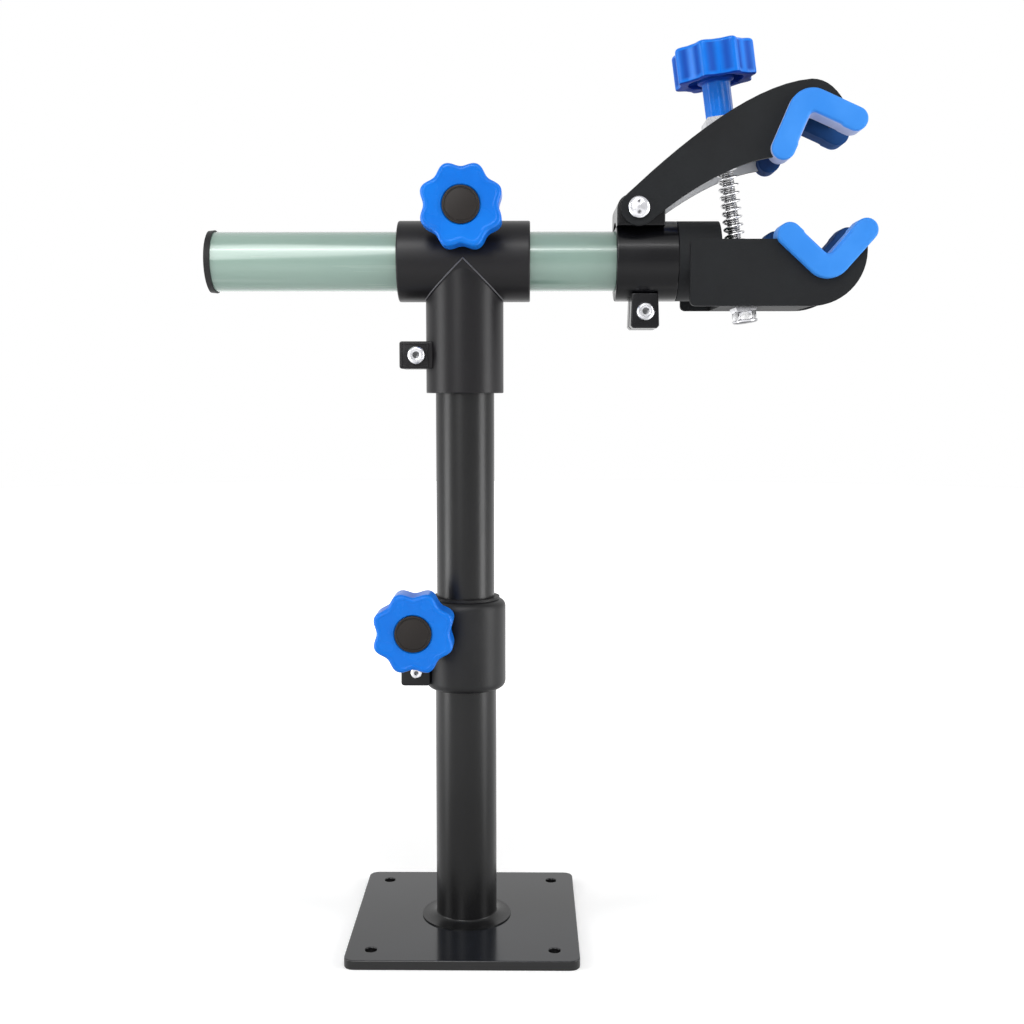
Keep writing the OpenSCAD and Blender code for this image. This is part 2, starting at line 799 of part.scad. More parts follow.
// The space that the screw sweeps about a seat, between two directions
module swing_slot(centre, a0, a1, length) {
    half = rod_d / 2 + slot_gap;
    d0 = at_angle(a0 - slot_margin_angle);
    d1 = at_angle(a1 + slot_margin_angle);
    slab(-half, half)
        polygon([centre - half * left_of(d0), centre - half * left_of(d0) + length * d0,
            centre + half * left_of(d1) + length * d1, centre + half * left_of(d1)]);
}

// Both cheeks of a jaw
module cheeks() {
    slab(-cheek_out, -cheek_in) children();
    slab(cheek_in, cheek_out) children();
}

module lower_jaw() {
    bore = lower_seat_r + loose_gap;
    boss = bore + seat_wall;
    color([0.2, 0.2, 0.21]) difference() {
        union() {
            x_bar(head_end, root_end, head_od, arm_z);
            cheeks() lower_cheek_outline();
            slab(-cheek_in - cheek_t / 2, cheek_in + cheek_t / 2) union() {
                translate([root_end - over, cheek_bottom])
                    square([cheek_end - nose_r - root_end + over, web_t]);
                intersection() {
                    translate(rod_foot) circle(boss);
                    translate([rod_foot[0] - boss, cheek_bottom]) square(2 * boss);
                }
            }
        }
        x_bar(head_end - over, root_end + over, arm_od + 2 * fixed_gap, arm_z);
        slab(-lower_seat_len / 2 - loose_gap, lower_seat_len / 2 + loose_gap)
            translate(rod_foot) circle(bore);
        swing_slot(rod_foot, 90 + rod_lean - foot_close_swing, 90 + rod_lean + foot_open_swing,
            boss + slot_over);
    }
}

// The web under the upper jaw's top line
module upper_web_outline(t) {
    first = ceil(curve_steps * web_start_share);
    polygon(band([for (i = [first : len(over_line) - 1]) over_line[i]], t));
}

module upper_jaw() {
    bore = upper_seat_r + rock_gap;
    mouth = upper_seat_r + seat_gap;
    color([0.2, 0.2, 0.21]) difference() {
        union() {
            cheeks() upper_cheek_outline();
            slab(-cheek_in - cheek_t / 2, cheek_in + cheek_t / 2) union() {
                upper_web_outline(web_t);
                intersection() {
                    translate(upper_seat) circle(bore + seat_wall);
                    upper_cheek_outline();
                }
            }
        }
        slab(-upper_seat_len / 2 - loose_gap, upper_seat_len / 2 + loose_gap)
            translate(upper_seat) union() {
                circle(bore);
                rotate(rod_lean + (close_swing - open_swing) / 2)
                    translate([-mouth, 0]) square(2 * mouth);
            }
        swing_slot(upper_seat, 270 + rod_lean - open_swing, 270 + rod_lean + close_swing,
            bore + seat_wall + slot_over);
        y_bar(pivot[0], pivot[1], -cheek_out - over, cheek_out + over, pivot_d + 2 * slide_gap);
    }
}

// A pad that clips over one cheek, and over the web that its third child draws:
// side is -1 in front and 1 behind
module pad(side) {
    y_out = cheek_out + pad_proud;
    y_in = y_out - pad_w;
    y0 = side < 0 ? -y_out : y_in;
    color([0.27, 0.6, 0.98]) difference() {
        slab(y0, y0 + pad_w) children(0);
        cheek_slot(side) children(1);
        if ($children > 2) slab(-cheek_in, cheek_in) children(2);
    }
}

// The room that a cheek takes in its pad
module cheek_slot(side) {
    y0 = side < 0 ? -cheek_out - fixed_gap : cheek_in - fixed_gap;
    slab(y0, y0 + cheek_t + 2 * fixed_gap) children();
}

module lower_pad(side) {
    pad(side) {
        at_lower_corner() pad_outline();
        lower_cheek_outline();
    }
}

module upper_pad(side) {
    pad(side) {
        at_upper_corner() pad_outline();
        upper_cheek_outline();
        upper_web_outline(web_t + fixed_gap);
    }
}

module lower_pad_near() {
    lower_pad(-1);
}

module lower_pad_far() {
    lower_pad(1);
}

module upper_pad_near() {
    upper_pad(-1);
}

module upper_pad_far() {
    upper_pad(1);
}

// Clamp screw, drawn along its own axis from its foot

module on_rod(rise) {
    translate([rod_foot[0], 0, rod_foot[1]]) rotate([0, -rod_lean, 0])
        translate([0, 0, rise]) children();
}

module jaw_rod() {
    foot = lower_seat_flat + rod_nut_h + rod_head_h;
    color([0.75, 0.76, 0.78]) on_rod(-foot) union() {
        cylinder(h = foot + rod_span + rod_tail, d = rod_d);
        translate([0, 0, rod_head_h]) rotate([180, 0, 0]) dome(rod_head_d, rod_head_h);
    }
}

module rod_nut() {
    color([0.8, 0.8, 0.82]) on_rod(-lower_seat_flat - rod_nut_h) difference() {
        cylinder(h = rod_nut_h, d = rod_nut_af * hex_corner_share, $fn = 6);
        translate([0, 0, -over]) cylinder(h = rod_nut_h + 2 * over, d = rod_d + 2 * fixed_gap);
    }
}

// A half-round seat across the screw, flat on one side
module half_round(r, length, flat, gap) {
    difference() {
        translate([0, length / 2, 0]) rotate([90, 0, 0]) cylinder(h = length, r = r);
        translate([-r - over, -length / 2 - over, flat])
            cube([2 * (r + over), length + 2 * over, 2 * r]);
        translate([0, 0, -r - over]) cylinder(h = 2 * (r + over), d = rod_d + 2 * gap);
    }
}

module rod_foot_seat() {
    color([0.7, 0.7, 0.72]) on_rod(0) mirror([0, 0, 1])
        half_round(lower_seat_r, lower_seat_len, lower_seat_flat, fixed_gap);
}

module rod_upper_seat() {
    color([0.8, 0.8, 0.82]) on_rod(rod_span)
        half_round(upper_seat_r, upper_seat_len, upper_seat_flat, slide_gap);
}

// The spring's centre line, its rings of points and its skin
spring_count = spring_rings * spring_curls;
spring_centres = [for (i = [0 : spring_count])
    let (a = 360 * i / spring_rings)
    [spring_r * cos(a), spring_r * sin(a), spring_low + (spring_high - spring_low) * i / spring_count]];
spring_slope = atan2((spring_high - spring_low) / spring_curls, 2 * PI * spring_r);
spring_points = [for (i = [0 : spring_count], j = [0 : spring_sides - 1])
    let (a = 360 * i / spring_rings, b = 360 * j / spring_sides,
        out = [cos(a), sin(a), 0],
        up = [sin(a) * sin(spring_slope), -cos(a) * sin(spring_slope), cos(spring_slope)])
    spring_centres[i] + spring_wire / 2 * (cos(b) * out + sin(b) * up)];

// One closed skin over rings of points, in triangles
function skin(rings, sides) = concat(
    [for (i = [0 : rings - 1], j = [0 : sides - 1])
        let (k = (j + 1) % sides)
        [i * sides + j, (i + 1) * sides + j, (i + 1) * sides + k]],
    [for (i = [0 : rings - 1], j = [0 : sides - 1])
        let (k = (j + 1) % sides)
        [i * sides + j, (i + 1) * sides + k, i * sides + k]],
    [for (j = [1 : sides - 2]) [0, j, j + 1]],
    [for (j = [1 : sides - 2]) [rings * sides, rings * sides + j + 1, rings * sides + j]]);

// Least air between curls, measured between centres at least half a curl apart
spring_least_gap = min([for (i = [0 : spring_count - spring_rings / 2 - 1],
    j = [i + spring_rings / 2 : min(i + 2 * spring_rings, spring_count)])
    norm(spring_centres[i] - spring_centres[j])]) - spring_wire;

module jaw_spring() {
    echo(spring_least_gap = spring_least_gap);
    color([0.82, 0.83, 0.85]) on_rod(0)
        polyhedron(points = spring_points, faces = skin(spring_count, spring_sides));
}

module jaw_knob() {
    on_rod(rod_span + upper_seat_flat) knob(stem_len);
}

module jaw_knob_insert() {
    on_rod(rod_span + upper_seat_flat) knob_insert();
}

module jaw_knob_cap() {
    on_rod(rod_span + upper_seat_flat) knob_cap(stem_len);
}

base_plate();
foot_ring();
lower_tube();
post_collar();
collar_bolt();
collar_nut();
post_knob_bolt();
post_knob_washer();
post_knob();
post_knob_insert();
post_knob_cap();
collar_liner();
upper_tube();
tee_joint();
tee_bolt();
tee_nut();
arm_knob_bolt();
arm_knob_washer();
arm_knob();
arm_knob_insert();
arm_knob_cap();
tee_liner();
arm_tube();
arm_end_cap();
head_sleeve();
head_bolt();
head_nut();
pivot_bolt();
pivot_nut();
lower_jaw();
lower_pad_near();
lower_pad_far();
upper_jaw();
upper_pad_near();
upper_pad_far();
jaw_rod();
rod_nut();
rod_foot_seat();
jaw_spring();
rod_upper_seat();
jaw_knob();
jaw_knob_insert();
jaw_knob_cap();
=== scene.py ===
# %% [markdown]
# # A bench-mounted bicycle repair stand
# The stand's moving frame was drawn in CAD and packed as `model.glb`. This script loads that frame, leaves
# every CAD piece where it is, and adds what a CAD solid leaves out: moulded knobs, rounded pressings, a
# real spring and thread, paint, rubber and zinc. Everything is in metres, with +Z up and +X to the clamp.

# %% Load the frame
import math
import bmesh
import bpy
import numpy as np
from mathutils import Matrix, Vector


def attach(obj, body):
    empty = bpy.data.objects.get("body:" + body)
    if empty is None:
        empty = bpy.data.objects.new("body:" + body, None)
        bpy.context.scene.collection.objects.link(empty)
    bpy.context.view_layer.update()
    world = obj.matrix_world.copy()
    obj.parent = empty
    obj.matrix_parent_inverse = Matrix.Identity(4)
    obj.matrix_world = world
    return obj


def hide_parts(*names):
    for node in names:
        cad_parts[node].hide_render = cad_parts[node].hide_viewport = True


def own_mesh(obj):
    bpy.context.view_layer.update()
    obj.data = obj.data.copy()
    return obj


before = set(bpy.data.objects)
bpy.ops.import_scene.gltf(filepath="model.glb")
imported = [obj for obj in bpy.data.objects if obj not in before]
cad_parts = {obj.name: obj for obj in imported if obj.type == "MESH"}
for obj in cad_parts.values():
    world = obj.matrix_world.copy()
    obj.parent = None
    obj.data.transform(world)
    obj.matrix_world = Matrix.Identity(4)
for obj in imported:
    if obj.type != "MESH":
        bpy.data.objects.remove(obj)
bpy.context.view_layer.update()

# %% [markdown]
# ## Camera
# The photograph is a composite of two views, so one camera can only come near both. A 45 mm lens, 0.8 m in
# front of the post and turned 5.4 degrees down, fits the arm, the post and the plate.

# %% Camera
MM = 0.001
CAMERA_PLACE = (0.0370, -0.79321, 0.33995)
CAMERA_DOWN, CAMERA_LEFT = 5.4446, 0.5793
camera_data = bpy.data.cameras.new("front_camera")
camera_data.lens = 45
camera_data.sensor_width = 36
camera = bpy.data.objects.new("front_camera", camera_data)
bpy.context.collection.objects.link(camera)
camera.location = CAMERA_PLACE
camera.rotation_euler = (math.radians(90 - CAMERA_DOWN), 0, math.radians(CAMERA_LEFT))
bpy.context.scene.camera = camera
bpy.context.scene.view_settings.view_transform = "Standard"
print("camera at", [round(v, 3) for v in camera.location])

# %% [markdown]
# ## Shader maths in Python
# A finish is a material with one Principled shader. Numbers that change over a surface are nodes, and
# joining them by hand is slow to read. `Field` wraps the output of a node, so `1 - dust * 0.5` adds the
# Math nodes by itself. `Finish.node` makes every other kind of node: its settings first, then its sockets.

# %% Fields and finishes
def rgb(red, green, blue):
    """Screen colour of 0 to 255 as the linear light that a shader wants: ((c + 0.055) / 1.055) to the 2.4."""
    c = np.array([red, green, blue]) / 255
    linear = np.where(c <= 0.04045, c / 12.92, ((c + 0.055) / 1.055) ** 2.4)
    return (*linear.tolist(), 1.0)


class Field:
    """A value that changes over a surface."""

    def __init__(self, finish, socket):
        self.finish, self.socket = finish, socket

    def math(self, operation, a, b):
        return self.finish.node("ShaderNodeMath", {"operation": operation}, {0: a, 1: b})

    def __add__(self, other):
        return self.math("ADD", self, other)

    def __sub__(self, other):
        return self.math("SUBTRACT", self, other)

    def __rsub__(self, other):
        return self.math("SUBTRACT", other, self)

    def __mul__(self, other):
        return self.math("MULTIPLY", self, other)

    __radd__ = __add__
    __rmul__ = __mul__

    def rise(self, low, high):
        """0 below low, 1 above high, and a smooth step between them (also with low above high)."""
        settings = {"interpolation_type": "SMOOTHSTEP"}
        sockets = {"Value": self, "From Min": low, "From Max": high}
        return self.finish.node("ShaderNodeMapRange", settings, sockets)


class Finish:
    """A material on one Principled shader. Fixed values are set on its sockets."""

    def __init__(self, name, **fixed):
        self.material = bpy.data.materials.new(name)
        self.material.use_nodes = True
        self.tree = self.material.node_tree
        self.shader = self.tree.nodes["Principled BSDF"]
        for socket, value in fixed.items():
            self.shader.inputs[socket.replace("_", " ")].default_value = value

    def node(self, kind, settings=None, sockets=None, output=0):
        made = self.tree.nodes.new(kind)
        for key, value in (settings or {}).items():
            setattr(made, key, value)
        for key, value in (sockets or {}).items():
            if isinstance(value, Field):
                self.tree.links.new(value.socket, made.inputs[key])
            else:
                made.inputs[key].default_value = value
        return Field(self, made.outputs[output])

    def place(self, stretch=(1, 1, 1)):
        """Object coordinates, stretched along each axis."""
        if not hasattr(self, "coordinates"):
            self.coordinates = self.node("ShaderNodeTexCoord", output=3)
        if stretch == (1, 1, 1):
            return self.coordinates
        return self.node("ShaderNodeMapping", {}, {"Vector": self.coordinates, "Scale": stretch})

    def axis(self, letter):
        """The x, y or z of a point on the piece."""
        return self.node("ShaderNodeSeparateXYZ", {}, {0: self.place()}, "XYZ".index(letter))

    def noise(self, scale, detail=2.0, stretch=(1, 1, 1)):
        sockets = {"Vector": self.place(stretch), "Scale": scale, "Detail": detail}
        return self.node("ShaderNodeTexNoise", {}, sockets)

    def mark(self):
        """The places that a piece marks on its mesh, from 0 to 1."""
        return self.node("ShaderNodeAttribute", {"attribute_name": "mark"}, {}, 2)

    def blend(self, share, under, over):
        """The colour under where share is 0, and the colour over where it is 1."""
        settings = {"data_type": "RGBA"}
        return self.node("ShaderNodeMix", settings, {"Factor": share, 6: under, 7: over}, 2)

    def feed(self, socket, value):
        self.tree.links.new(value.socket, self.shader.inputs[socket])

    def relief(self, height, depth):
        """Bumps of the given depth in metres."""
        sockets = {"Height": height, "Distance": depth, "Strength": 1.0}
        self.feed("Normal", self.node("ShaderNodeBump", {}, sockets))


print("a mid grey of 128 is", round(rgb(128, 128, 128)[0], 3), "in light")

# %% [markdown]
# ## Soft boxes
# The photograph is a plain white product shot. Two tall soft boxes stand beside the stand and draw the two
# bright lines down its black tubes, a third hangs over the front, and a long thin strip above it draws the
# white line along the arm. A lamp's power would hide how bright its face is, so the face's brightness is
# given and the power worked out from it.

# %% Soft boxes
def soft_box(name, place, aim, width, height, brightness):
    """A rectangular lamp whose face has the given brightness: power = pi times area times brightness."""
    data = bpy.data.lights.new(name, "AREA")
    data.shape, data.size, data.size_y = "RECTANGLE", width, height
    data.energy = math.pi * width * height * brightness
    lamp = bpy.data.objects.new(name, data)
    bpy.context.collection.objects.link(lamp)
    lamp.location = place
    toward = np.array(aim, float) - np.array(place, float)
    lamp.rotation_euler = Vector(toward).to_track_quat("-Z", "Y").to_euler()
    return lamp


POST_AIM, FRONT_AIM, ARM_AIM = (0.0, 0, 0.30), (0.05, 0, 0.30), (0.0, 0, 0.42)
soft_box("left_box", (-1.15, -0.36, 0.40), POST_AIM, width=0.48, height=1.3, brightness=5.5)
soft_box("right_box", (1.2, -0.36, 0.40), POST_AIM, width=0.48, height=1.3, brightness=5.5)
soft_box("front_box", (0.1, -1.1, 1.5), FRONT_AIM, width=1.2, height=0.7, brightness=1.4)
soft_box("arm_strip", (0.0, -0.9, 1.25), ARM_AIM, width=1.5, height=0.05, brightness=15.0)
print("four soft boxes")

# %% [markdown]
# ## World
# The world lights evenly at less than half, and shows pure white to the camera, in mirrors and through
# glass. Light Path nodes tell these rays apart. A wedge of it is much brighter, for mirrors only: it stands
# for the tapering panel whose reflection runs along the arm in the photograph.

# %% World
WORLD_LIGHT, PANEL_LIGHT = 0.46, 6.0


class Sky(Finish):
    """The same tools on the nodes of the world."""

    def __init__(self, world):
        world.use_nodes = True
        self.tree = world.node_tree
        self.shader = self.tree.nodes["Background"]
        self.coordinates = self.node("ShaderNodeTexCoord", output=0)


def ray_kinds(finish):
    """Three fields: 1 for rays from the camera, for rays from glossy surfaces, and for rays through glass."""
    path = finish.node("ShaderNodeLightPath").socket.node
    kinds = ("Is Camera Ray", "Is Glossy Ray", "Is Transmission Ray")
    return [Field(finish, path.outputs[kind]) for kind in kinds]


def wedge(sky):
    """A bright panel in front, for mirrors only: tall on the left and narrowing to a tip on the right.

    With the ray as (x, y, z), f = -y and s = x + 0.24 f, its edges are z = 3.1 s and z = 1.7 f - 2.8 s."""
    x, z = sky.axis("X"), sky.axis("Z")
    f = 0 - sky.axis("Y")
    s = x + f * 0.24
    inside = (z - s * 3.1).rise(0, 0.08) * (f * 1.7 - s * 2.8 - z).rise(0, 0.08)
    return inside * z.rise(0.0, 0.06) * (x + f * 0.6).rise(0, 0.1) * f.rise(0.05, 0.1)


world = bpy.data.worlds.new("white_studio")
bpy.context.scene.world = world
sky = Sky(world)
sky.shader.inputs["Color"].default_value = (1, 1, 1, 1)
camera_ray, glossy_ray, glass_ray = ray_kinds(sky)
white = (camera_ray + glossy_ray + glass_ray) * (1 - WORLD_LIGHT) + WORLD_LIGHT
sky.feed("Strength", white + glossy_ray * wedge(sky) * PANEL_LIGHT)
print("the world lights at", WORLD_LIGHT, "and shows at 1")

# %% [markdown]
# ## Floor
# The floor takes the shadow and fades to white with distance, so that no horizon shows. Seen in a mirror it
# is brighter in two wedges beside the stand, which carry the two bright lines on to the tube's lower end. It
# is staged, because it isn't a piece of the stand.

# %% Floor
FLOOR_R, BEAM_LIGHT, NEAR_GLOW = 4.0, 5, 0.3


def floor_mesh(radius, rings, spokes):
    """A disc: radius = R times (ring share) squared, so its rings lie closer near the stand."""
    share = (np.arange(1, rings + 1) / rings)[:, None] ** 2
    turn = (2 * np.pi * np.arange(spokes) / spokes)[None, :]
    x, y = radius * share * np.cos(turn), radius * share * np.sin(turn)
    points = np.stack([x, y, np.zeros_like(x)], -1).reshape(-1, 3)
    i, j = np.meshgrid(np.arange(rings - 1), np.arange(spokes), indexing="ij")
    a, b = (i * spokes + j).ravel(), (i * spokes + (j + 1) % spokes).ravel()
    faces = np.stack([a, a + spokes, b + spokes, b], 1).tolist() + [list(range(spokes))]
    mesh = bpy.data.meshes.new("floor")
    mesh.from_pydata(points.tolist(), [], faces)
    return mesh


floor = bpy.data.objects.new("floor", floor_mesh(FLOOR_R, 24, 96))
bpy.context.collection.objects.link(floor)
paper = Finish("white_paper", Base_Color=(0.86, 0.86, 0.86, 1), Roughness=0.9, Specular_IOR_Level=0.1)
distance = paper.node("ShaderNodeVectorMath", {"operation": "LENGTH"}, {0: paper.place()}, 1)
camera_ray, glossy_ray, _ = ray_kinds(paper)
across = paper.axis("X")
side = across.math("ABSOLUTE", across, 0.0)
front = 0 - paper.axis("Y")
beam = (front - side * 0.08).rise(0, 0.05) * (side * 0.5 - front).rise(0, 0.05)
fade = distance.rise(0.15, 0.9) * (1 - NEAR_GLOW) + NEAR_GLOW
paper.feed("Emission Strength", (camera_ray + glossy_ray * (beam * BEAM_LIGHT + 1)) * fade)
paper.shader.inputs["Emission Color"].default_value = (1, 1, 1, 1)
floor.data.materials.append(paper.material)
print("floor", len(floor.data.polygons), "faces")

# %% [markdown]
# ## Black gloss enamel of the post
# The two tubes are sprayed black. Real enamel has a faint orange peel, so its bright lines waver a little,
# and a tube that slides in a clamp gets fine lines along its length. Both are noise: round for the peel,
# and stretched along Z for the rubbing.

# %% Post enamel
def enamel(name, colour, roughness, peel=0.00004):
    """Sprayed gloss: a colour that drifts by a few percent, and an orange peel about 2 mm across."""
    finish = Finish(name, Specular_IOR_Level=0.26)
    drift = finish.noise(18, 3).rise(0.3, 0.7)
    lighter = tuple(min(1, v * 1.5 + 0.002) for v in colour[:3]) + (1,)
    rub = finish.noise(420, 2, (1, 1, 0.04)).rise(0.6, 0.85)
    finish.feed("Base Color", finish.blend(drift * 0.6 + rub * 0.3, colour, lighter))
    finish.feed("Roughness", drift * 0.05 + rub * 0.08 + roughness)
    finish.relief(finish.noise(480, 2), peel)
    return finish


post_enamel = enamel("post_enamel", rgb(12, 12, 13), 0.28)
print("post enamel", len(post_enamel.tree.nodes), "nodes")

# %% [markdown]
# ## Satin plate
# The plate is powder coated slate black. Its top is smooth enough to mirror the tube, and its cut edges are
# darker and duller. Handling leaves broad dull patches.

# %% Plate coat
PLATE_T = 6 * MM
plate_coat = Finish("plate_coat", Specular_IOR_Level=0.42)
top = plate_coat.axis("Z").rise(PLATE_T - 0.5 * MM, PLATE_T - 0.1 * MM)
patches = plate_coat.noise(9, 4).rise(0.35, 0.7)
slate = plate_coat.blend(patches, rgb(18, 19, 22), rgb(27, 29, 34))
plate_coat.feed("Base Color", plate_coat.blend(top, rgb(12, 12, 13), slate))
plate_coat.feed("Roughness", patches * 0.06 + (1 - top) * 0.2 + 0.1)
plate_coat.relief(plate_coat.noise(1400, 2), 0.00001)
print("plate coat", len(plate_coat.tree.nodes), "nodes")

# %% [markdown]
# ## Black nylon
# Collar, tee, the head's sleeve, liners and caps are moulded in black nylon. It has a soft, even sheen and a
# fine spark-eroded grain, and it greys slightly in broad patches. The arm's end cap is rubber, made the same
# way.

# %% Nylon
def nylon(name, colour, roughness, grain=0.00003):
    """Moulded nylon: broad grey drift, a grain about 0.8 mm across, and a painted highlight in light grey
    where it is marked.
    """
    finish = Finish(name, Specular_IOR_Level=0.2)
    handled = finish.noise(26, 4).rise(0.45, 0.8)
    lighter = tuple(v * 1.35 + 0.003 for v in colour[:3]) + (1,)
    black = finish.blend(handled * 0.7, colour, lighter)
    # painted highlight: marked places, the tee's mitre beads, are painted light grey
    finish.feed("Base Color", finish.blend(finish.mark() * 0.8, black, rgb(100, 100, 104)))
    finish.feed("Roughness", handled * 0.08 + roughness)
    finish.relief(finish.noise(1300, 3), grain)
    return finish


collar_nylon = nylon("collar_nylon", rgb(27, 27, 28), 0.4)
tee_nylon = nylon("tee_nylon", rgb(23, 22, 24), 0.34)
sleeve_nylon = nylon("sleeve_nylon", rgb(10, 10, 13), 0.2, 0.00001)
liner_nylon = nylon("liner_nylon", rgb(24, 24, 25), 0.5)
cap_nylon = nylon("cap_nylon", rgb(30, 26, 24), 0.42)
end_rubber = nylon("end_rubber", rgb(20, 20, 21), 0.5)
print("six nylons")

# %% [markdown]
# ## Pale green arm
# The arm is sprayed a pale sage green under clear lacquer, so it is the glossiest piece. The lacquer is the
# shader's coat: a second, sharper highlight over the paint.

# %% Arm paint
arm_paint = Finish("arm_paint", Specular_IOR_Level=0.5, Coat_Roughness=0.06)
drift = arm_paint.noise(14, 3, (0.4, 1, 1)).rise(0.3, 0.7)
rub = arm_paint.noise(300, 2, (0.03, 1, 1)).rise(0.62, 0.85)
green = arm_paint.blend(drift, rgb(128, 156, 144), rgb(140, 167, 155))
arm_paint.feed("Base Color", arm_paint.blend(rub * 0.35, green, rgb(166, 186, 176)))
arm_paint.feed("Roughness", rub * 0.15 + drift * 0.04 + 0.2)
arm_paint.feed("Coat Weight", 0.6 - rub * 0.4)
arm_paint.relief(arm_paint.noise(420, 2), 0.00002)
print("arm paint", len(arm_paint.tree.nodes), "nodes")

# %% [markdown]
# ## Matte jaws
# The jaws are pressed steel with a dry charcoal powder coat: hardly any gloss and a leathery texture about
# half a millimetre across. The photograph shows a silver strip inside the upper jaw, so marked faces, the
# inner ones, are painted near white: a painted highlight.

# %% Jaw coat
jaw_coat = Finish("jaw_coat", Specular_IOR_Level=0.15)
cloud = jaw_coat.noise(22, 4).rise(0.3, 0.75)
charcoal = jaw_coat.blend(cloud, rgb(17, 18, 20), rgb(26, 28, 30))
# painted highlight: the marked inner faces are painted near white
painted_highlight = jaw_coat.mark() * (cloud * 0.2 + 0.7)
jaw_coat.feed("Base Color", jaw_coat.blend(painted_highlight, charcoal, rgb(226, 227, 229)))
jaw_coat.feed("Roughness", cloud * 0.08 + 0.56 - painted_highlight * 0.1)
jaw_coat.relief(jaw_coat.noise(1900, 3), 0.00005)
print("jaw coat", len(jaw_coat.tree.nodes), "nodes")

# %% [markdown]
# ## Blue plastic and blue rubber
# The knobs are hard blue plastic with a semi-gloss skin, with painted shade in deeper blue in their valleys
# and under them. The jaw pads are softer, paler and duller. The photograph shows the gripping faces of the
# near upper pad nearly white and those of the far pads dark navy, so near and far rubber share a recipe and
# differ in the marked colour: a painted highlight on the near upper pad, painted shade on the far pads. A
# bloom of lighter blue stands for the wax that rubber sweats out, and for scuffs.

# %% Blues
def moulding(name, deep, pale, painted_light, roughness, grain):
    """Coloured moulding: pale bloom on deep colour, fine scuffs, and marked faces in the colour of their
    painted light.
    """
    finish = Finish(name, Specular_IOR_Level=0.22)
    bloom = finish.noise(30, 4).rise(0.35, 0.75)
    scuffs = finish.noise(260, 3, (1, 1, 0.3)).rise(0.66, 0.85)
    blue = finish.blend(bloom * 0.6 + scuffs * 0.25, deep, pale)
    # painted light: marked faces take painted shade on knobs and far rails, a painted highlight on the near
    # upper rail
    finish.feed("Base Color", finish.blend(finish.mark() * (bloom * 0.2 + 0.8), blue, painted_light))
    finish.feed("Roughness", bloom * 0.06 + scuffs * 0.15 + finish.mark() * 0.4 + roughness)
    finish.relief(finish.noise(900, 3), grain)
    return finish


# marked colours: deep blue painted shade on the knobs, near white painted highlight, navy painted shade far
knob_plastic = moulding("knob_plastic", rgb(0, 112, 220), rgb(6, 128, 236), rgb(0, 46, 150), 0.25, 0.00001)
pad_rubber = moulding("pad_rubber", rgb(50, 134, 226), rgb(70, 150, 238), rgb(186, 192, 220), 0.5, 0.00003)
far_rubber = moulding("far_rubber", rgb(50, 134, 226), rgb(70, 150, 238), rgb(12, 22, 60), 0.5, 0.00003)
print("three blues")

# %% [markdown]
# ## Zinc
# Bolts, nuts, washers and the screw are bright zinc. It is a metal, so its colour is all reflection; drawing
# and tumbling leave fine random scratches and cloudy patches. Sockets, dents, thread grooves, nut bores, the
# screw head's underside and the spring's inner side are marked and get painted shade, which makes the screw
# read as a row of dark lines.

# %% Zinc
def zinc(name, bright, dull, painted_shade, roughness):
    """Plated steel: cloudy dull patches, fine scratches, and painted shade where the mesh is marked."""
    finish = Finish(name, Metallic=1.0)
    cloud = finish.noise(160, 3).rise(0.4, 0.75)
    scratch = finish.noise(900, 2, (1, 0.15, 0.15)).rise(0.55, 0.8)
    plated = finish.blend(cloud * 0.6, bright, dull)
    finish.feed("Base Color", finish.blend(finish.mark() * 0.85, plated, painted_shade))
    finish.feed("Roughness", cloud * 0.12 + scratch * 0.12 + roughness)
    finish.relief(finish.noise(500, 2), 0.00001)
    return finish


bolt_zinc = zinc("bolt_zinc", rgb(206, 206, 210), rgb(128, 130, 134), rgb(30, 30, 32), 0.2)
screw_zinc = zinc("screw_zinc", rgb(230, 230, 231), rgb(180, 181, 184), rgb(14, 14, 16), 0.26)
print("two zincs")

# %% [markdown]
# ## Finishes of the CAD pieces
# A CAD piece whose shape is right stays and only gets its finish. The table says which finish goes on
# which pieces.

# %% Finish the CAD pieces
FINISHES = {
    post_enamel: ["lower_tube", "upper_tube", "foot_ring"],
    plate_coat: ["base_plate"],
    collar_nylon: ["post_collar"],
    tee_nylon: ["tee_joint"],
    sleeve_nylon: ["head_sleeve"],
    liner_nylon: ["collar_liner", "tee_liner"],
    cap_nylon: ["post_knob_cap", "arm_knob_cap", "jaw_knob_cap"],
    end_rubber: ["arm_end_cap"],
    arm_paint: ["arm_tube"],
    jaw_coat: ["lower_jaw", "upper_jaw"],
    knob_plastic: ["post_knob", "arm_knob", "jaw_knob"],
    pad_rubber: ["lower_pad_near", "lower_pad_far", "upper_pad_near", "upper_pad_far"],
    bolt_zinc: ["collar_bolt", "collar_nut", "post_knob_bolt", "post_knob_washer", "post_knob_insert",
                "tee_bolt", "tee_nut", "arm_knob_bolt", "arm_knob_washer", "arm_knob_insert",
                "head_bolt", "head_nut", "pivot_bolt", "pivot_nut", "rod_foot_seat",
                "rod_upper_seat", "jaw_knob_insert"],
    screw_zinc: ["jaw_rod", "rod_nut", "jaw_spring"],
}
for finish, names in FINISHES.items():
    for name in names:
        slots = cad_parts[name].material_slots
        for slot in slots:
            slot.material = finish.material
        if not slots:
            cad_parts[name].data.materials.append(finish.material)
print(sum(len(names) for names in FINISHES.values()), "CAD pieces have a finish")

# %% [markdown]
# ## Surfaces from numpy
# Most new pieces are rings of points joined into a skin. A ring is one turn round the piece, and the rings
# follow each other along it, so a knob, a bolt head or a rounded plate is one array of (rings, points, xyz).
# Which way the faces point is settled by volume: a closed skin whose volume comes out negative is turned.
# Edges sharper than the crease angle stay sharp, and the rest are shaded smooth.

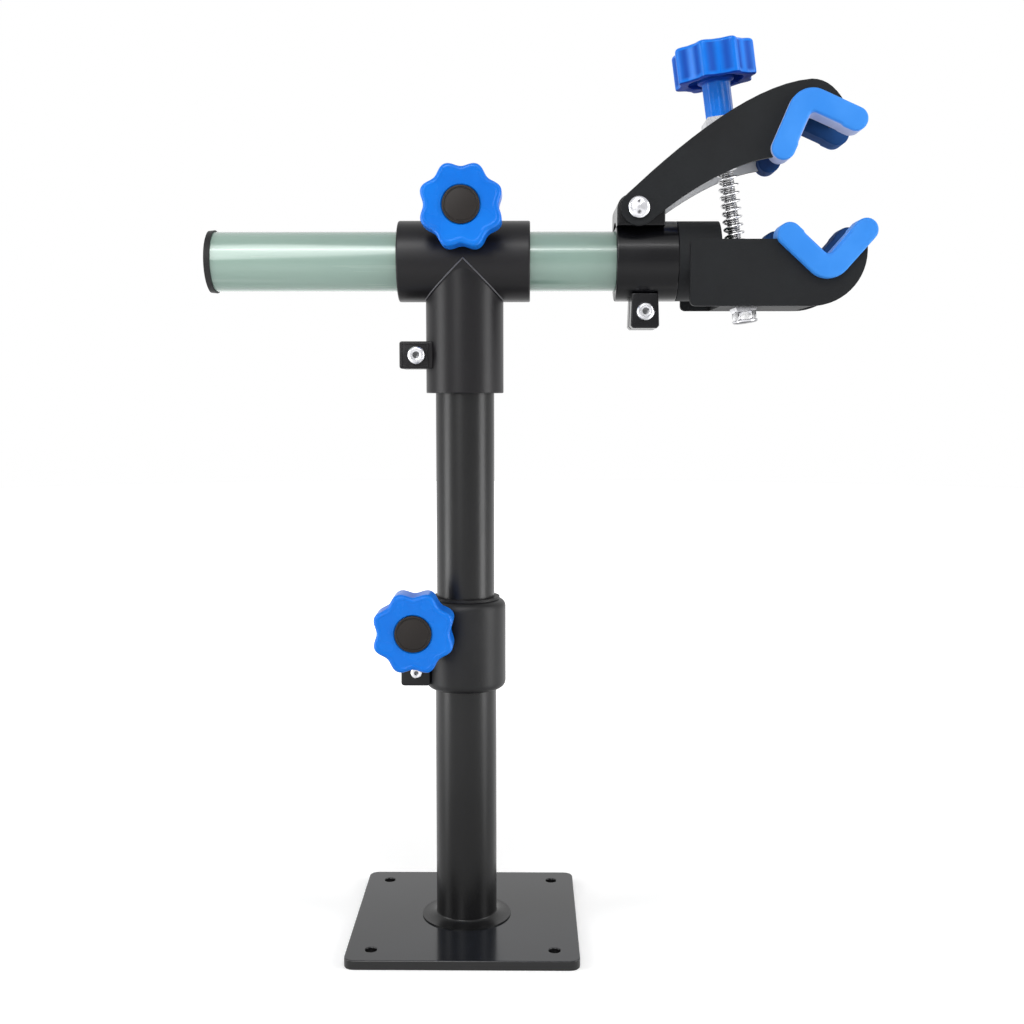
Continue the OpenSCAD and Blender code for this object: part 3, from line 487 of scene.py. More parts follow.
# %% Rings to a mesh
def ring_faces(rings, points, start):
    """Quads between neighbouring rings, and one flat face on each end ring, with point numbers from start."""
    i, j = np.meshgrid(np.arange(rings - 1), np.arange(points), indexing="ij")
    a, b = (i * points + j).ravel(), (i * points + (j + 1) % points).ravel()
    quads = np.stack([a, b, b + points, a + points], 1) + start
    caps = [np.arange(points)[::-1] + start, np.arange(points) + (rings - 1) * points + start]
    return quads.tolist() + [cap.tolist() for cap in caps]


def skin_volume(shell):
    """Volume of a closed shell: the sum of a . (b x c) / 6 over the triangles of its sides and its ends."""
    rings = shell[..., :3]
    a, d = rings[:-1], rings[1:]
    b, c = np.roll(a, -1, 1), np.roll(d, -1, 1)
    total = np.einsum("ijk,ijk->", a, np.cross(b, c)) + np.einsum("ijk,ijk->", a, np.cross(c, d))
    for ring, sign in ((rings[0], -1), (rings[-1], 1)):
        total += sign * np.einsum("jk,jk->", ring, np.cross(np.roll(ring, -1, 0), ring.mean(0) + 0 * ring))
    return total / 6


def signed(shell):
    """The shell with its rings turned the other way round where its volume comes out negative."""
    return shell if skin_volume(shell) > 0 else shell[:, ::-1]


def marked(shell, mark):
    """A shell with its mark, one number or one for each point, as the fourth number."""
    fourth = np.broadcast_to(np.asarray(mark, float)[..., None], shell[..., :1].shape)
    return np.concatenate([shell, fourth], 2)


CREASE = 38


def piece(name, shells, finish, body, stands_for=(), crease=CREASE):
    """One object from closed shells of rings, arrays of shape (rings, points, 3 or 4) in metres.

    A fourth number marks places for the finish: it becomes the attribute "mark"."""
    shells = [signed(shell if shell.shape[2] == 4 else marked(shell, 0)) for shell in shells]
    points, faces, start = [], [], 0
    for shell in shells:
        faces += ring_faces(shell.shape[0], shell.shape[1], start)
        points.append(shell.reshape(-1, 4))
        start += len(points[-1])
    points = np.concatenate(points)
    mesh = bpy.data.meshes.new(name)
    mesh.from_pydata(points[:, :3].tolist(), [], faces)
    mesh.update()
    mesh.attributes.new("mark", "FLOAT", "POINT").data.foreach_set("value", points[:, 3].astype(np.float32))
    mesh.shade_smooth()
    mesh.polygons.foreach_set("use_smooth", [len(face) <= 4 for face in faces])
    mesh.set_sharp_from_angle(angle=math.radians(crease))
    made = bpy.data.objects.new(name, mesh)
    bpy.context.collection.objects.link(made)
    mesh.materials.append(finish.material)
    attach(made, body)
    if stands_for:
        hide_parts(*stands_for)
    print(f"{name}: {len(points)} points, {sum(skin_volume(s) for s in shells) * 1e6:.2f} cm3")
    return made


print("edges sharper than", CREASE, "degrees stay sharp")

# %% [markdown]
# ## Places on the stand
# Knobs, bolts and the screw have an axis, and each is easiest to draw upright at the origin. A place
# then stands it up on the stand: it knows where the piece's foot is and which way its axis points. The
# places repeat those of the CAD frame, because a new piece rides on the same body as the node it replaces.

# %% Places
def stood_at(origin, up, side):
    """A function that puts local x, y and height at origin + x side + y (up x side) + height up."""
    origin, up, side = (np.array(v, float) for v in (origin, up, side))
    up, side = up / np.linalg.norm(up), side / np.linalg.norm(side)
    across = np.cross(up, side)
    return lambda x, y, h: origin + x[..., None] * side + y[..., None] * across + h[..., None] * up


EAR_FACE, WASHER_T = 15 * MM, 1.6 * MM
POST_KNOB = (-29.25 * MM, -EAR_FACE - WASHER_T, 196 * MM)
ARM_KNOB = (0, -EAR_FACE - WASHER_T, 445.95 * MM)
ROD_FOOT = np.array([170.4, 0, 391]) * MM
ROD_LEAN = math.radians(7.995)
ROD_UP = np.array([-math.sin(ROD_LEAN), 0, math.cos(ROD_LEAN)])
ROD_SPAN = 109.5 * MM
SEAT_FLAT = 3 * MM
JAW_KNOB = ROD_FOOT + (ROD_SPAN + SEAT_FLAT) * ROD_UP
at_rod = stood_at(ROD_FOOT, ROD_UP, (0, 1, 0))
at_jaw_knob = stood_at(JAW_KNOB, ROD_UP, (0, 1, 0))


def facing_front(x, y, z):
    """A place whose axis points to the camera's side, along -Y."""
    return stood_at((x, y, z), (0, -1, 0), (1, 0, 0))


def facing_back(x, y, z):
    """A place whose axis points away from the camera's side, along +Y."""
    return stood_at((x, y, z), (0, 1, 0), (1, 0, 0))


at_post_knob, at_arm_knob = facing_front(*POST_KNOB), facing_front(*ARM_KNOB)
print("the clamp screw leans", round(math.degrees(ROD_LEAN), 1), "degrees")

# %% [markdown]
# ## Star knobs
# Three knobs of one family tighten the stand: eight soft lobes for the fingers, a flat face with a rounded
# rim, a hub below and a hollow underside stiffened by ribs. A knob could be carved with booleans, but its
# every section is either a circle or the lobed outline, so it is one skin of rings that pass from the one to
# the other. The lobes are a cosine wave on the radius.

# %% Knob skin
LOBES, KNOB_R, LOBE_DEPTH, KNOB_H = 8, 25 * MM, 3.2 * MM, 21 * MM
SPOKE_SHARE, SPOKE_H = 0.16, 9.5 * MM
turn = np.linspace(0, 2 * np.pi, LOBES * 24, endpoint=False)
lobed = KNOB_R - LOBE_DEPTH * (1 + np.cos(LOBES * turn)) / 2


def quarter(r0, h0, r1, h1, steps, out_first):
    """Points of a quarter ellipse between two places, leaving along the radius or along the height."""
    t = np.linspace(0, np.pi / 2, steps + 1)[1:]
    a, b = (np.sin(t), 1 - np.cos(t)) if out_first else (1 - np.cos(t), np.sin(t))
    return list(zip(r0 + (r1 - r0) * a, h0 + (h1 - h0) * b))


def knob_skin(hub, flutes=0.0, dark=0.4, ribs=0.0):
    """x, y, height and mark of a knob's rings, from the bolt's bore over the underside to the face's dish.

    A ring is (radius, height), or with lobes (distance from the lobed outline, height). Flutes are grooves
    along the stem and ribs are waves on the lobes, both by depth. Marks: the valleys, as dark as given, and
    the whole underside."""
    top, mm = hub + KNOB_H, MM
    inner = [(4.4 * mm, top - 5 * mm), (4.4 * mm, 9.2 * mm), (6.05 * mm, 9.2 * mm), (6.05 * mm, 0.4 * mm),
             (6.4 * mm, 0), (7.9 * mm, 0)] + quarter(7.9 * mm, 0, 8.5 * mm, 0.6 * mm, 3, True)
    stem = [(8.5 * mm, h) for h in np.linspace(2 * mm, hub - 1.5 * mm, 4)]
    pocket = [(8.9 * mm, hub - 0.3 * mm), (9.8 * mm, hub + 0.2 * mm), (10.9 * mm, hub + 0.5 * mm),
              (11 * mm, hub + 11 * mm), (16.4 * mm, hub + 11 * mm), (16.7 * mm, hub + 0.6 * mm)]
    rim = [(-4.2 * mm, hub), (-1.2 * mm, hub)]
    rim += [(r - 1.2 * mm, h) for r, h in quarter(0, hub, 1.2 * mm, hub + 1.2 * mm, 4, True)]
    side = [(0.0, h) for h in np.linspace(hub + 3 * mm, top - 2.4 * mm, 5)]
    crown = [(r, h) for r, h in quarter(0, top - 2.4 * mm, -2.4 * mm, top, 6, False)]
    face = [(-3.0 * mm, top), (-3.3 * mm, top - 0.15 * mm), (-3.9 * mm, top - 0.15 * mm)]
    dish = [(13 * mm, top - 0.35 * mm), (11.7 * mm, top - 0.35 * mm), (11.15 * mm, top - 0.8 * mm),
            (11.1 * mm, top - 1.45 * mm)]
    across_lobe, half_lobe = (1 - np.cos(LOBES * turn)) / 2, (1 - np.cos(2 * LOBES * turn)) / 2
    spoke = np.clip(1 - np.abs(np.sin(LOBES / 2 * (turn + np.pi / LOBES))) / SPOKE_SHARE, 0, 1)
    rings = []
    for r, h in inner + stem + pocket:
        drop = spoke * SPOKE_H if h > hub + 10 * mm else 0
        groove = flutes * across_lobe if (r, h) in stem else 0
        rings.append((r - groove + 0 * turn, h - drop + 0 * turn))
    for r, h in rim + side + crown + face:
        rings.append((lobed - ribs * half_lobe + r, h + 0 * turn))
    for r, h in dish:
        rings.append((r + 0 * turn, h + 0 * turn))
    r, h = (np.array([ring[k] for ring in rings]) for k in (0, 1))
    # painted shade: lobe valleys and the whole underside are marked, and the finish paints them deeper blue
    wave = half_lobe if ribs else 1 - across_lobe
    valley = wave * ((h > hub + 2 * mm) & (h < top - 2 * mm) & (r > 17 * mm))
    under = (r > 8.8 * mm) & (h < hub + 12 * mm) & ((r < 17 * mm) | (h < hub + 0.6 * mm))
    return r * np.cos(turn), r * np.sin(turn), h, np.maximum(valley * dark, under * 1.0)


def set_in(place, x, y, h, mark):
    """Rings in their place, with the marks as the fourth number."""
    return marked(place(x, y, h), mark)


HUB, STEM = 9.5 * MM, 22 * MM
plain_skin = knob_skin(HUB)
stem_skin = knob_skin(STEM, flutes=0.5 * MM, dark=0.8, ribs=0.8 * MM)
KNOBS = (("post", at_post_knob, plain_skin, "post_knob", "post_knob"),
         ("arm", at_arm_knob, plain_skin, "arm_knob", "arm_knob"),
         ("clamp", at_jaw_knob, stem_skin, "clamp_knob", "jaw_knob"))
for where, place, skin, body, node in KNOBS:
    piece(f"{where}_star_knob", [set_in(place, *skin)], knob_plastic, body, [node])

# %% [markdown]
# ## Knob caps
# A black cap snaps into each knob's face and hides the bolt's end. The photograph shows a dark ring round a
# slightly raised centre, so the cap is a turned profile: a rounded rim, a narrow groove and a low dome.

# %% Caps
def turned(profile, count=64):
    """A profile of (radius, height) turned about the axis: x = r cos a, y = r sin a."""
    a = np.linspace(0, 2 * np.pi, count, endpoint=False)
    r, h = (np.array(profile)[:, k, None] for k in (0, 1))
    return r * np.cos(a), r * np.sin(a), h + 0 * a


def cap_profile(hub):
    """Foot, wall, rounded rim, groove, and a dome whose height falls with the square of the radius."""
    top = hub + KNOB_H
    rim = [(3 * MM, top - 1.5 * MM), (10.9 * MM, top - 1.5 * MM), (10.9 * MM, top + 0.1 * MM)]
    edge = quarter(10.9 * MM, top + 0.1 * MM, 10.4 * MM, top + 0.5 * MM, 3, False)
    groove = [(10.0 * MM, top + 0.5 * MM), (9.7 * MM, top + 0.2 * MM), (9.3 * MM, top + 0.2 * MM)]
    dome = [(r * MM, top + (1.0 - 0.5 * (r / 9) ** 2) * MM) for r in (9, 7.5, 6, 4.5, 3, 1.5, 0.3)]
    return rim + edge + groove + dome


for where, place, _, body, node in KNOBS:
    cover = place(*turned(cap_profile(STEM if where == "clamp" else HUB)))
    piece(f"{where}_knob_cover", [cover], cap_nylon, body, [f"{node}_cap"])

# %% [markdown]
# ## Screw and spring
# The clamp screw is an M8 rod. A thread is a ridge that climbs one pitch per turn, so the rod is a grid of
# turn and height whose radius is a wave of height divided by pitch minus turn: no modifier is needed.

# %% Threaded screw
PITCH, ROD_R, THREAD_DEPTH = 1.25 * MM, 4 * MM, 0.55 * MM


def threaded(low, high, pitch, radius, depth, count=20, per_turn=6):
    """Radius = R - depth (1 - w), with w a rounded wave of (height / pitch - turn / 360).

    The wave is eased out over two pitches at both ends, so the thread runs out to its core there.

    The fourth grid is the mark: 1 at the bottom of the groove, where shade is painted."""
    a = np.linspace(0, 2 * np.pi, count, endpoint=False)[None, :]
    h = np.arange(low, high, pitch / per_turn)[:, None]
    wave = 0.5 - 0.5 * np.cos(2 * np.pi * (h / pitch - a / (2 * np.pi)))
    ends = np.clip(np.minimum(h - low, high - h) / (2 * pitch), 0, 1)
    low_share = 1 - wave * ends
    r = radius - depth * low_share
    return r * np.cos(a), r * np.sin(a), h + 0 * a, low_share


screw_low, screw_high = -8.5 * MM, ROD_SPAN + 17 * MM
thread = set_in(at_rod, *threaded(screw_low, screw_high, PITCH, ROD_R, THREAD_DEPTH))
piece("clamp_screw_thread", [thread], screw_zinc, "clamp_screw", ["jaw_rod"], crease=60)

# %% [markdown]
# ## Screw head
# Below the lower jaw the screw ends in a low round head. It is a turned profile. Its underside is marked,
# because the photograph shows it dark.

# %% Screw head
head_below = [(0.6, -10.7), (4.5, -10.7), (6.6, -10.4), (7.6, -9.8)]
head_side = [(7.8, -9.2), (7.8, -8.7), (7.5, -8.5), (0.6, -8.5)]
x, y, h = turned(np.array(head_below + head_side) * MM, 48)
# painted shade: the head's underside is marked and painted dark
under = h < -9.7 * MM
piece("clamp_screw_head", [set_in(at_rod, x, y, h, 0.9 * under)], bolt_zinc, "clamp_screw", [])

# %% [markdown]
# ## Compression spring
# The spring lifts the upper jaw when the knob is let out. Its centre line is a helix round the screw with
# 19 turns, closed flat at both ends. A small circle is carried along it, so the grid's two parameters are
# the way along the wire and the turn round the wire.

# %% Spring
SPRING_R, WIRE_R, CURLS = 5.55 * MM, 0.75 * MM, 19
SPRING_LOW, SPRING_HIGH = 10.85 * MM, 95.05 * MM


def spring_wire(per_curl=22, round_count=10):
    """Helix: angle = 360 degrees times curl, height = low + (high - low) times an eased share of the curls.

    The fourth grid is the mark: 0 on the outer side of the wire and 1 on the side that faces the screw."""
    t = np.linspace(0, CURLS, CURLS * per_curl + 1)
    end = 1.0
    closed = 2.05 * WIRE_R / (SPRING_HIGH - SPRING_LOW)
    middle = (1 - 2 * closed) / (CURLS - 2 * end)
    share = closed * np.clip(t, 0, end) / end + middle * np.clip(t - end, 0, CURLS - 2 * end)
    share = share + closed * np.clip(t - CURLS + end, 0, end) / end
    a = 2 * np.pi * t
    h = SPRING_LOW + (SPRING_HIGH - SPRING_LOW) * share
    centre = np.stack([SPRING_R * np.cos(a), SPRING_R * np.sin(a), h], 1)
    along = np.gradient(centre, axis=0)
    along /= np.linalg.norm(along, axis=1)[:, None]
    out = np.stack([np.cos(a), np.sin(a), 0 * a], 1)
    over = np.cross(along, out)
    w = np.linspace(0, 2 * np.pi, round_count, endpoint=False)
    grid = centre[:, None] + WIRE_R * (np.cos(w)[:, None] * out[:, None] + np.sin(w)[:, None] * over[:, None])
    # painted shade: the wire's side that faces the screw is marked and painted dark
    shade = 0.5 - 0.5 * np.cos(w)[None, :] + 0 * t[:, None]
    return grid[..., 0], grid[..., 1], grid[..., 2], shade


wire = set_in(at_rod, *spring_wire())
spring = piece("clamp_spring", [wire], screw_zinc, "clamp_screw", ["jaw_spring"], crease=80)
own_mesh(spring)

# %% [markdown]
# ## Plates with soft rims
# An ear, a lug and a split sleeve are each one outline carried along an axis, with a rim as a moulding has
# it: a quarter circle instead of a knife edge. A bevel tool could do that, but it stumbles over
# the thin triangles of a CAD mesh. Here the outline is moved inwards ring by ring.

# %% Outlines
def arc(centre, radius, start, end, count=10):
    """Points centre + R (cos a, sin a) with both ends, angles in degrees."""
    a = np.radians(np.linspace(start, end, count))
    return np.stack([centre[0] + radius * np.cos(a), centre[1] + radius * np.sin(a)], 1)


def round_box(x0, y0, x1, y1, radius):
    """A rectangle with round corners."""
    left, right, low, high = x0 + radius, x1 - radius, y0 + radius, y1 - radius
    corners = ((right, high, 0), (left, high, 90), (left, low, 180), (right, low, 270))
    return np.concatenate([arc((x, y), radius, start, start + 90, 7) for x, y, start in corners])


def sliced_ring(inner, outer, slit, toward):
    """A ring cut open by a slit that points along an angle: round outside, back inside."""
    open_out, open_in = (np.degrees(np.arcsin(slit / 2 / r)) for r in (outer, inner))
    return np.concatenate([arc((0, 0), outer, toward + open_out, toward + 360 - open_out, 96),
                           arc((0, 0), inner, toward + 360 - open_in, toward + open_in, 96)])


def even(outline, step):
    """The same closed outline with a point about every step, so that long edges bend and bake evenly."""
    ring = np.concatenate([outline, outline[:1]])
    length = np.linalg.norm(np.diff(ring, axis=0), axis=1)
    keep = np.concatenate([[True], length > 1e-7])
    ring, length = ring[keep], length[length > 1e-7]
    parts = np.maximum(1, np.round(length / step).astype(int))
    start = np.repeat(np.arange(len(parts)), parts)
    share = (np.arange(parts.sum()) - np.repeat(np.cumsum(parts) - parts, parts)) / np.repeat(parts, parts)
    return ring[start] + (ring[start + 1] - ring[start]) * share[:, None]


def inset(outline, depth):
    """Every point moved inwards by depth along (n1 + n2) / (1 + n1 . n2), the mitre of its edges' normals."""
    following = np.roll(outline, -1, 0)
    edge = following - outline
    area = np.sum(outline[:, 0] * following[:, 1] - outline[:, 1] * following[:, 0])
    normal = np.stack([-edge[:, 1], edge[:, 0]], 1) / np.linalg.norm(edge, axis=1)[:, None] * np.sign(area)
    before = np.roll(normal, 1, 0)
    mitre = (normal + before) / np.maximum(0.4, 1 + np.sum(normal * before, 1))[:, None]
    return outline + np.reshape(depth, (-1, 1)) * mitre


SUPPORT_SHARE = 1.3


def plate(outline, low, high, rim, axis="y", steps=4):
    """Rings of an outline from low to high. Near both ends: inset = R (1 - sin t), height = R (1 - cos t).

    A supporting ring just inside each rim keeps the long faces between them evenly lit. The outline lies in
    XZ, YZ or XY when the axis is y, x or z."""
    t = np.linspace(0, np.pi / 2, steps + 1)
    depth, height = rim * (1 - np.sin(t)), rim * (1 - np.cos(t))
    support = [(0, low + SUPPORT_SHARE * rim), (0, high - SUPPORT_SHARE * rim)] if rim else []
    rings = list(zip(depth, low + height)) + support + list(zip(depth[::-1], high - height[::-1]))
    place = {"y": (0, 2, 1), "x": (1, 2, 0), "z": (0, 1, 2)}[axis]
    shell = np.zeros((len(rings), len(outline), 3))
    for k, (d, h) in enumerate(rings):
        shell[k][:, place[:2]] = inset(outline, d)
        shell[k, :, place[2]] = h
    return shell


print("a rounded box has", len(round_box(0, 0, 1, 1, 0.1)), "points")

# %% [markdown]
# ## Collar
# The collar is a split sleeve on the outer tube. Its two ears carry the knob's bolt and a small clamp bolt.
# The slit runs through the ring and between the ears, so the ring is a C-shaped outline carried along Z. It
# is made as two lengths, because the bore steps from the outer tube to the liner, and only their far rims
# are rounded.

# %% Collar
COLLAR_LOW, COLLAR_SEAT, COLLAR_HIGH = 154 * MM, 182 * MM, 210 * MM
COLLAR_R, COLLAR_RIM, SLIT = 25 * MM, 4.5 * MM, 3 * MM


def ears(outline, rim=0.9 * MM):
    """Two ears of one outline, in front of and behind the slit."""
    return [plate(outline, -EAR_FACE, -SLIT / 2, rim), plate(outline, SLIT / 2, EAR_FACE, rim)]


def split_sleeve(inner, outer, low, high, rim, toward, axis):
    """A sleeve with its slit toward an angle, carried along an axis."""
    return plate(sliced_ring(inner, outer, SLIT, toward), low, high, rim, axis)


def rounded_end(shell, at, rim, outer, steps=6):
    """Rounds the outer rim of a sleeve along Z: r = R - rim (1 - cos t), height = end - rim (1 - sin t)."""
    t = np.linspace(0, np.pi / 2, steps + 1)[1:]
    sign = 1 if at > shell[..., 2].mean() else -1
    base = shell[0 if sign < 0 else -1].copy()
    base[:, 2] = at - sign * rim
    radius = np.linalg.norm(base[:, :2], axis=1)
    outside = np.clip((radius - (outer - rim)) / rim, 0, 1)
    support = base.copy()
    support[:, 2] = at - sign * SUPPORT_SHARE * rim
    rings = [support, base]
    for angle in t:
        ring = base.copy()
        ring[:, :2] *= (1 - outside * rim * (1 - np.cos(angle)) / radius)[:, None]
        ring[:, 2] = at - sign * rim * (1 - np.sin(angle))
        rings.append(ring)
    middle = shell[-1:] if sign < 0 else shell[:1]
    return np.concatenate([np.array(rings[::-1]), middle] if sign < 0 else [middle, np.array(rings)])


collar_ear = even(round_box(-39.5 * MM, 157.5 * MM, -21.5 * MM, 206.5 * MM, 2 * MM), 3 * MM)
collar_lower = split_sleeve(19.2 * MM, COLLAR_R, COLLAR_LOW, COLLAR_SEAT, 0.0, 180, "z")
collar_upper = split_sleeve(20.2 * MM, COLLAR_R, COLLAR_SEAT, COLLAR_HIGH, 0.0, 180, "z")
collar_shells = [rounded_end(collar_lower, COLLAR_LOW, COLLAR_RIM, COLLAR_R),
                 rounded_end(collar_upper, COLLAR_HIGH, COLLAR_RIM, COLLAR_R)] + ears(collar_ear)
piece("split_collar", collar_shells, collar_nylon, "base", ["post_collar"])

# %% [markdown]
# ## Tee
# The tee joins the post to the arm: a long split sleeve for the arm, a socket for the post, two ears on top
# for the knob's bolt and two at the side for the clamp bolt. A moulded bead marks the mitre between sleeve
# and socket, and a raised frame strengthens the side ear. On a cylinder of radius R about X, the mitre
# z = -|x| is the line y = -sqrt(R^2 - x^2), so the bead is a thin round carried along that line.

# %% Tee
ARM_Z, TEE_R, SOCKET_R, SOCKET_BORE = 418 * MM, 24.45 * MM, 23.75 * MM, 18.05 * MM
SOCKET_LOW, SOCKET_SLIT_TOP = 338 * MM, 377.5 * MM
BEAD_R, FRAME_BEAD_R = 0.45 * MM, 0.5 * MM
ASKEW = np.array([0.137, 0.31, 0.94])


def rod_along(points, radius, count=10):
    """A round carried along a line of points: centre + R (cos b normal + sin b binormal).

    The normal is square to the line and to a direction that no bead runs along."""
    along = np.gradient(points, axis=0)
    along /= np.linalg.norm(along, axis=1)[:, None]
    away = np.cross(along, ASKEW)
    away /= np.linalg.norm(away, axis=1)[:, None]
    over = np.cross(along, away)
    b = np.linspace(0, 2 * np.pi, count, endpoint=False)[:, None]
    return points[:, None] + radius * (np.cos(b) * away[:, None] + np.sin(b) * over[:, None])


def socket_top(inner, outer, low):
    """A tube whose top follows the sleeve, just under its skin: height = arm - sqrt(R^2 - (r sin a)^2)."""
    a = np.linspace(0, 2 * np.pi, 96, endpoint=False)
    ring = lambda r, z: np.stack([r * np.cos(a), r * np.sin(a), z + 0 * a], 1)
    crest = lambda r, sleeve: ARM_Z - np.sqrt(np.maximum(0, sleeve ** 2 - (r * np.sin(a)) ** 2))
    top_out, top_in = crest(outer, TEE_R - 1 * MM), crest(inner, TEE_R - 2 * MM)
    return np.array([
        ring(inner, low), ring(inner + 0.5 * MM, low), ring(outer, low), ring(outer, (low + top_out) / 2),
        ring(outer, top_out), ring(inner, top_in), ring(inner, (low + top_in) / 2)])


x = np.concatenate([np.linspace(-SOCKET_R, 0, 24), np.linspace(0, SOCKET_R, 24)[1:]])
mitre = np.stack([x, -np.sqrt(TEE_R ** 2 - x ** 2), ARM_Z - np.abs(x)], 1)
# the beads get mark 1: a painted highlight along the mitre
beads = [marked(rod_along(mitre * (1, side, 1), BEAD_R), 1) for side in (1, -1)]
frame_edge = round_box(-38.5 * MM, 353.4 * MM, -20.6 * MM, 368.6 * MM, 1.5 * MM)
frame_line = np.insert(inset(even(frame_edge, 1 * MM), 0.9 * MM), 1, -EAR_FACE, axis=1)
frame_loop = np.concatenate([frame_line, frame_line[:2]])
frames = [rod_along(frame_loop * (1, side, 1), FRAME_BEAD_R) for side in (1, -1)]
side_ear = even(round_box(-39 * MM, 352.75 * MM, -18.5 * MM, 369.25 * MM, 1.5 * MM), 3 * MM)
top_ear = even(round_box(-12 * MM, 439 * MM, 12 * MM, 452.95 * MM, 2.5 * MM), 3 * MM)
tee_shells = [
    split_sleeve(20.15 * MM, TEE_R, -40 * MM, 40 * MM, 1.0 * MM, 90, "x") + (0, 0, ARM_Z),
    split_sleeve(SOCKET_BORE, SOCKET_R, SOCKET_LOW, SOCKET_SLIT_TOP, 0.6 * MM, 180, "z"),
    socket_top(SOCKET_BORE, SOCKET_R, SOCKET_SLIT_TOP - 1 * MM),
]
tee_shells += ears(side_ear) + ears(top_ear) + beads + frames
piece("tee_moulding", tee_shells, tee_nylon, "post", ["tee_joint"])

# %% [markdown]
# ## Clamp head
# The head is a split sleeve fixed near the arm's end. A lug on top carries the jaw's pivot, and an ear below
# holds its clamp bolt. The jaw's boss turns against the lug's cheek.

# %% Clamp head
HEAD_BORE, HEAD_LOW, HEAD_HIGH, HEAD_R = 18.05 * MM, 91.5 * MM, 128.7 * MM, 24 * MM
PIVOT = np.array([104, 447]) * MM
LUG_END, LUG_FOOT, LUG_ROUND, LUG_HALF = 120 * MM, 437 * MM, 8.5 * MM, 22 * MM
lug = np.concatenate([
    [(HEAD_LOW, LUG_FOOT), (LUG_END, LUG_FOOT)],
    arc((LUG_END - LUG_ROUND, PIVOT[1]), LUG_ROUND, 0, 90, 9),
    arc((HEAD_LOW + LUG_ROUND, PIVOT[1]), LUG_ROUND, 90, 180, 9)])
head_ear = np.array([
    (101.2, 398), (117.0, 398), (117.8, 378.6), (116.4, 377.05), (102.0, 377.05), (100.6, 378.6)]) * MM
head_shells = [split_sleeve(HEAD_BORE, HEAD_R, HEAD_LOW, HEAD_HIGH, 0.8 * MM, 270, "x") + (0, 0, ARM_Z),
               plate(even(lug, 2.5 * MM), -LUG_HALF, LUG_HALF, 0.9 * MM)]
head_shells += ears(even(head_ear, 2.5 * MM), 0.8 * MM)
piece("clamp_head_sleeve", head_shells, sleeve_nylon, "arm", ["head_sleeve"])

# %% [markdown]
# ## Rounded copies of plates with pockets
# The base plate and the two jaws have holes and pockets that a single outline can't give. A copy of the CAD
# mesh does it: its loose triangles are joined, its flat faces made whole again, and a bevel rounds every
# edge that is sharper than the crease angle. Flat inner faces of the upper jaw are marked, because the
# photograph shows a bright strip inside its channel; the mark paints them near white as a painted highlight.

# %% Rounded copies
JOIN_GAP, FLAT_ANGLE = 0.002 * MM, 1


def rounded_copy(name, node, finish, body, width, inside=0.0):
    """A CAD piece with rounded edges. Faces square to Y and nearer to the middle than inside get mark 1."""
    form = bmesh.new()
    form.from_mesh(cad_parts[node].data)
    bmesh.ops.remove_doubles(form, verts=form.verts, dist=JOIN_GAP)
    bmesh.ops.dissolve_limit(form, angle_limit=math.radians(FLAT_ANGLE), verts=form.verts, edges=form.edges)
    mesh = bpy.data.meshes.new(name)
    form.to_mesh(mesh)
    form.free()
    centre, normal = np.empty(len(mesh.polygons) * 3), np.empty(len(mesh.polygons) * 3)
    mesh.polygons.foreach_get("center", centre)
    mesh.polygons.foreach_get("normal", normal)
    # these inner faces get mark 1, which the jaw coat paints near white as a painted highlight
    inner = (np.abs(centre[1::3]) < inside) & (np.abs(normal[1::3]) > 0.9)
    mesh.attributes.new("mark", "FLOAT", "FACE").data.foreach_set("value", inner.astype(np.float32))
    mesh.materials.clear()
    mesh.materials.append(finish.material)
    made = bpy.data.objects.new(name, mesh)
    bpy.context.collection.objects.link(made)
    mesh.shade_smooth()
    mesh.set_sharp_from_angle(angle=math.radians(CREASE))
    bevel = made.modifiers.new("soft_edges", "BEVEL")
    bevel.width, bevel.segments, bevel.limit_method = width, 3, "ANGLE"
    bevel.angle_limit, bevel.harden_normals = math.radians(CREASE), True
    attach(made, body)
    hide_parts(node)
    print(f"{name}: {len(mesh.polygons)} faces before the bevel, {int(inner.sum())} marked")


rounded_copy("anchor_plate", "base_plate", plate_coat, "base", 0.8 * MM)
rounded_copy("lower_jaw_channel", "lower_jaw", jaw_coat, "arm", 0.7 * MM)
rounded_copy("upper_jaw_channel", "upper_jaw", jaw_coat, "upper_jaw", 0.7 * MM, inside=22.6 * MM)

# %% [markdown]
# ## Jaw pads
# Four rubber rails in two V pairs grip the tube of a bicycle. From the side a rail is a V with round tips
# and a round outer corner. Its face has a soft rim, the gripping edge is set back a little between two
# steps, and what lies behind the rim looks nearly white on the near upper rail and navy on the far rails in
# the photograph, so it is marked: a painted highlight on the near upper rail and painted shade on the far
# rails. One V outline is carried across the jaw, and every ring moves it inwards by its own depth: all round
# for the rims, and on the gripping edge for the step.

# %% Pads
REACH = 120.4 * MM
LOWER_V, LOWER_TURN = np.array([215.7, 409.4]) * MM, 3
UPPER_V, UPPER_TURN = PIVOT + REACH * np.array([0.798, 0.5224]), 201.5
HALF_ANGLE, PAD_HALF, PAD_LEG, PAD_CORNER, PAD_INNER = 44.5, 7 * MM, 32 * MM, 14 * MM, 2.5 * MM
PAD_OUT, PAD_IN, GRIP_END, GRIP_EASE = 31 * MM, 14 * MM, 5 * MM, 1.5 * MM


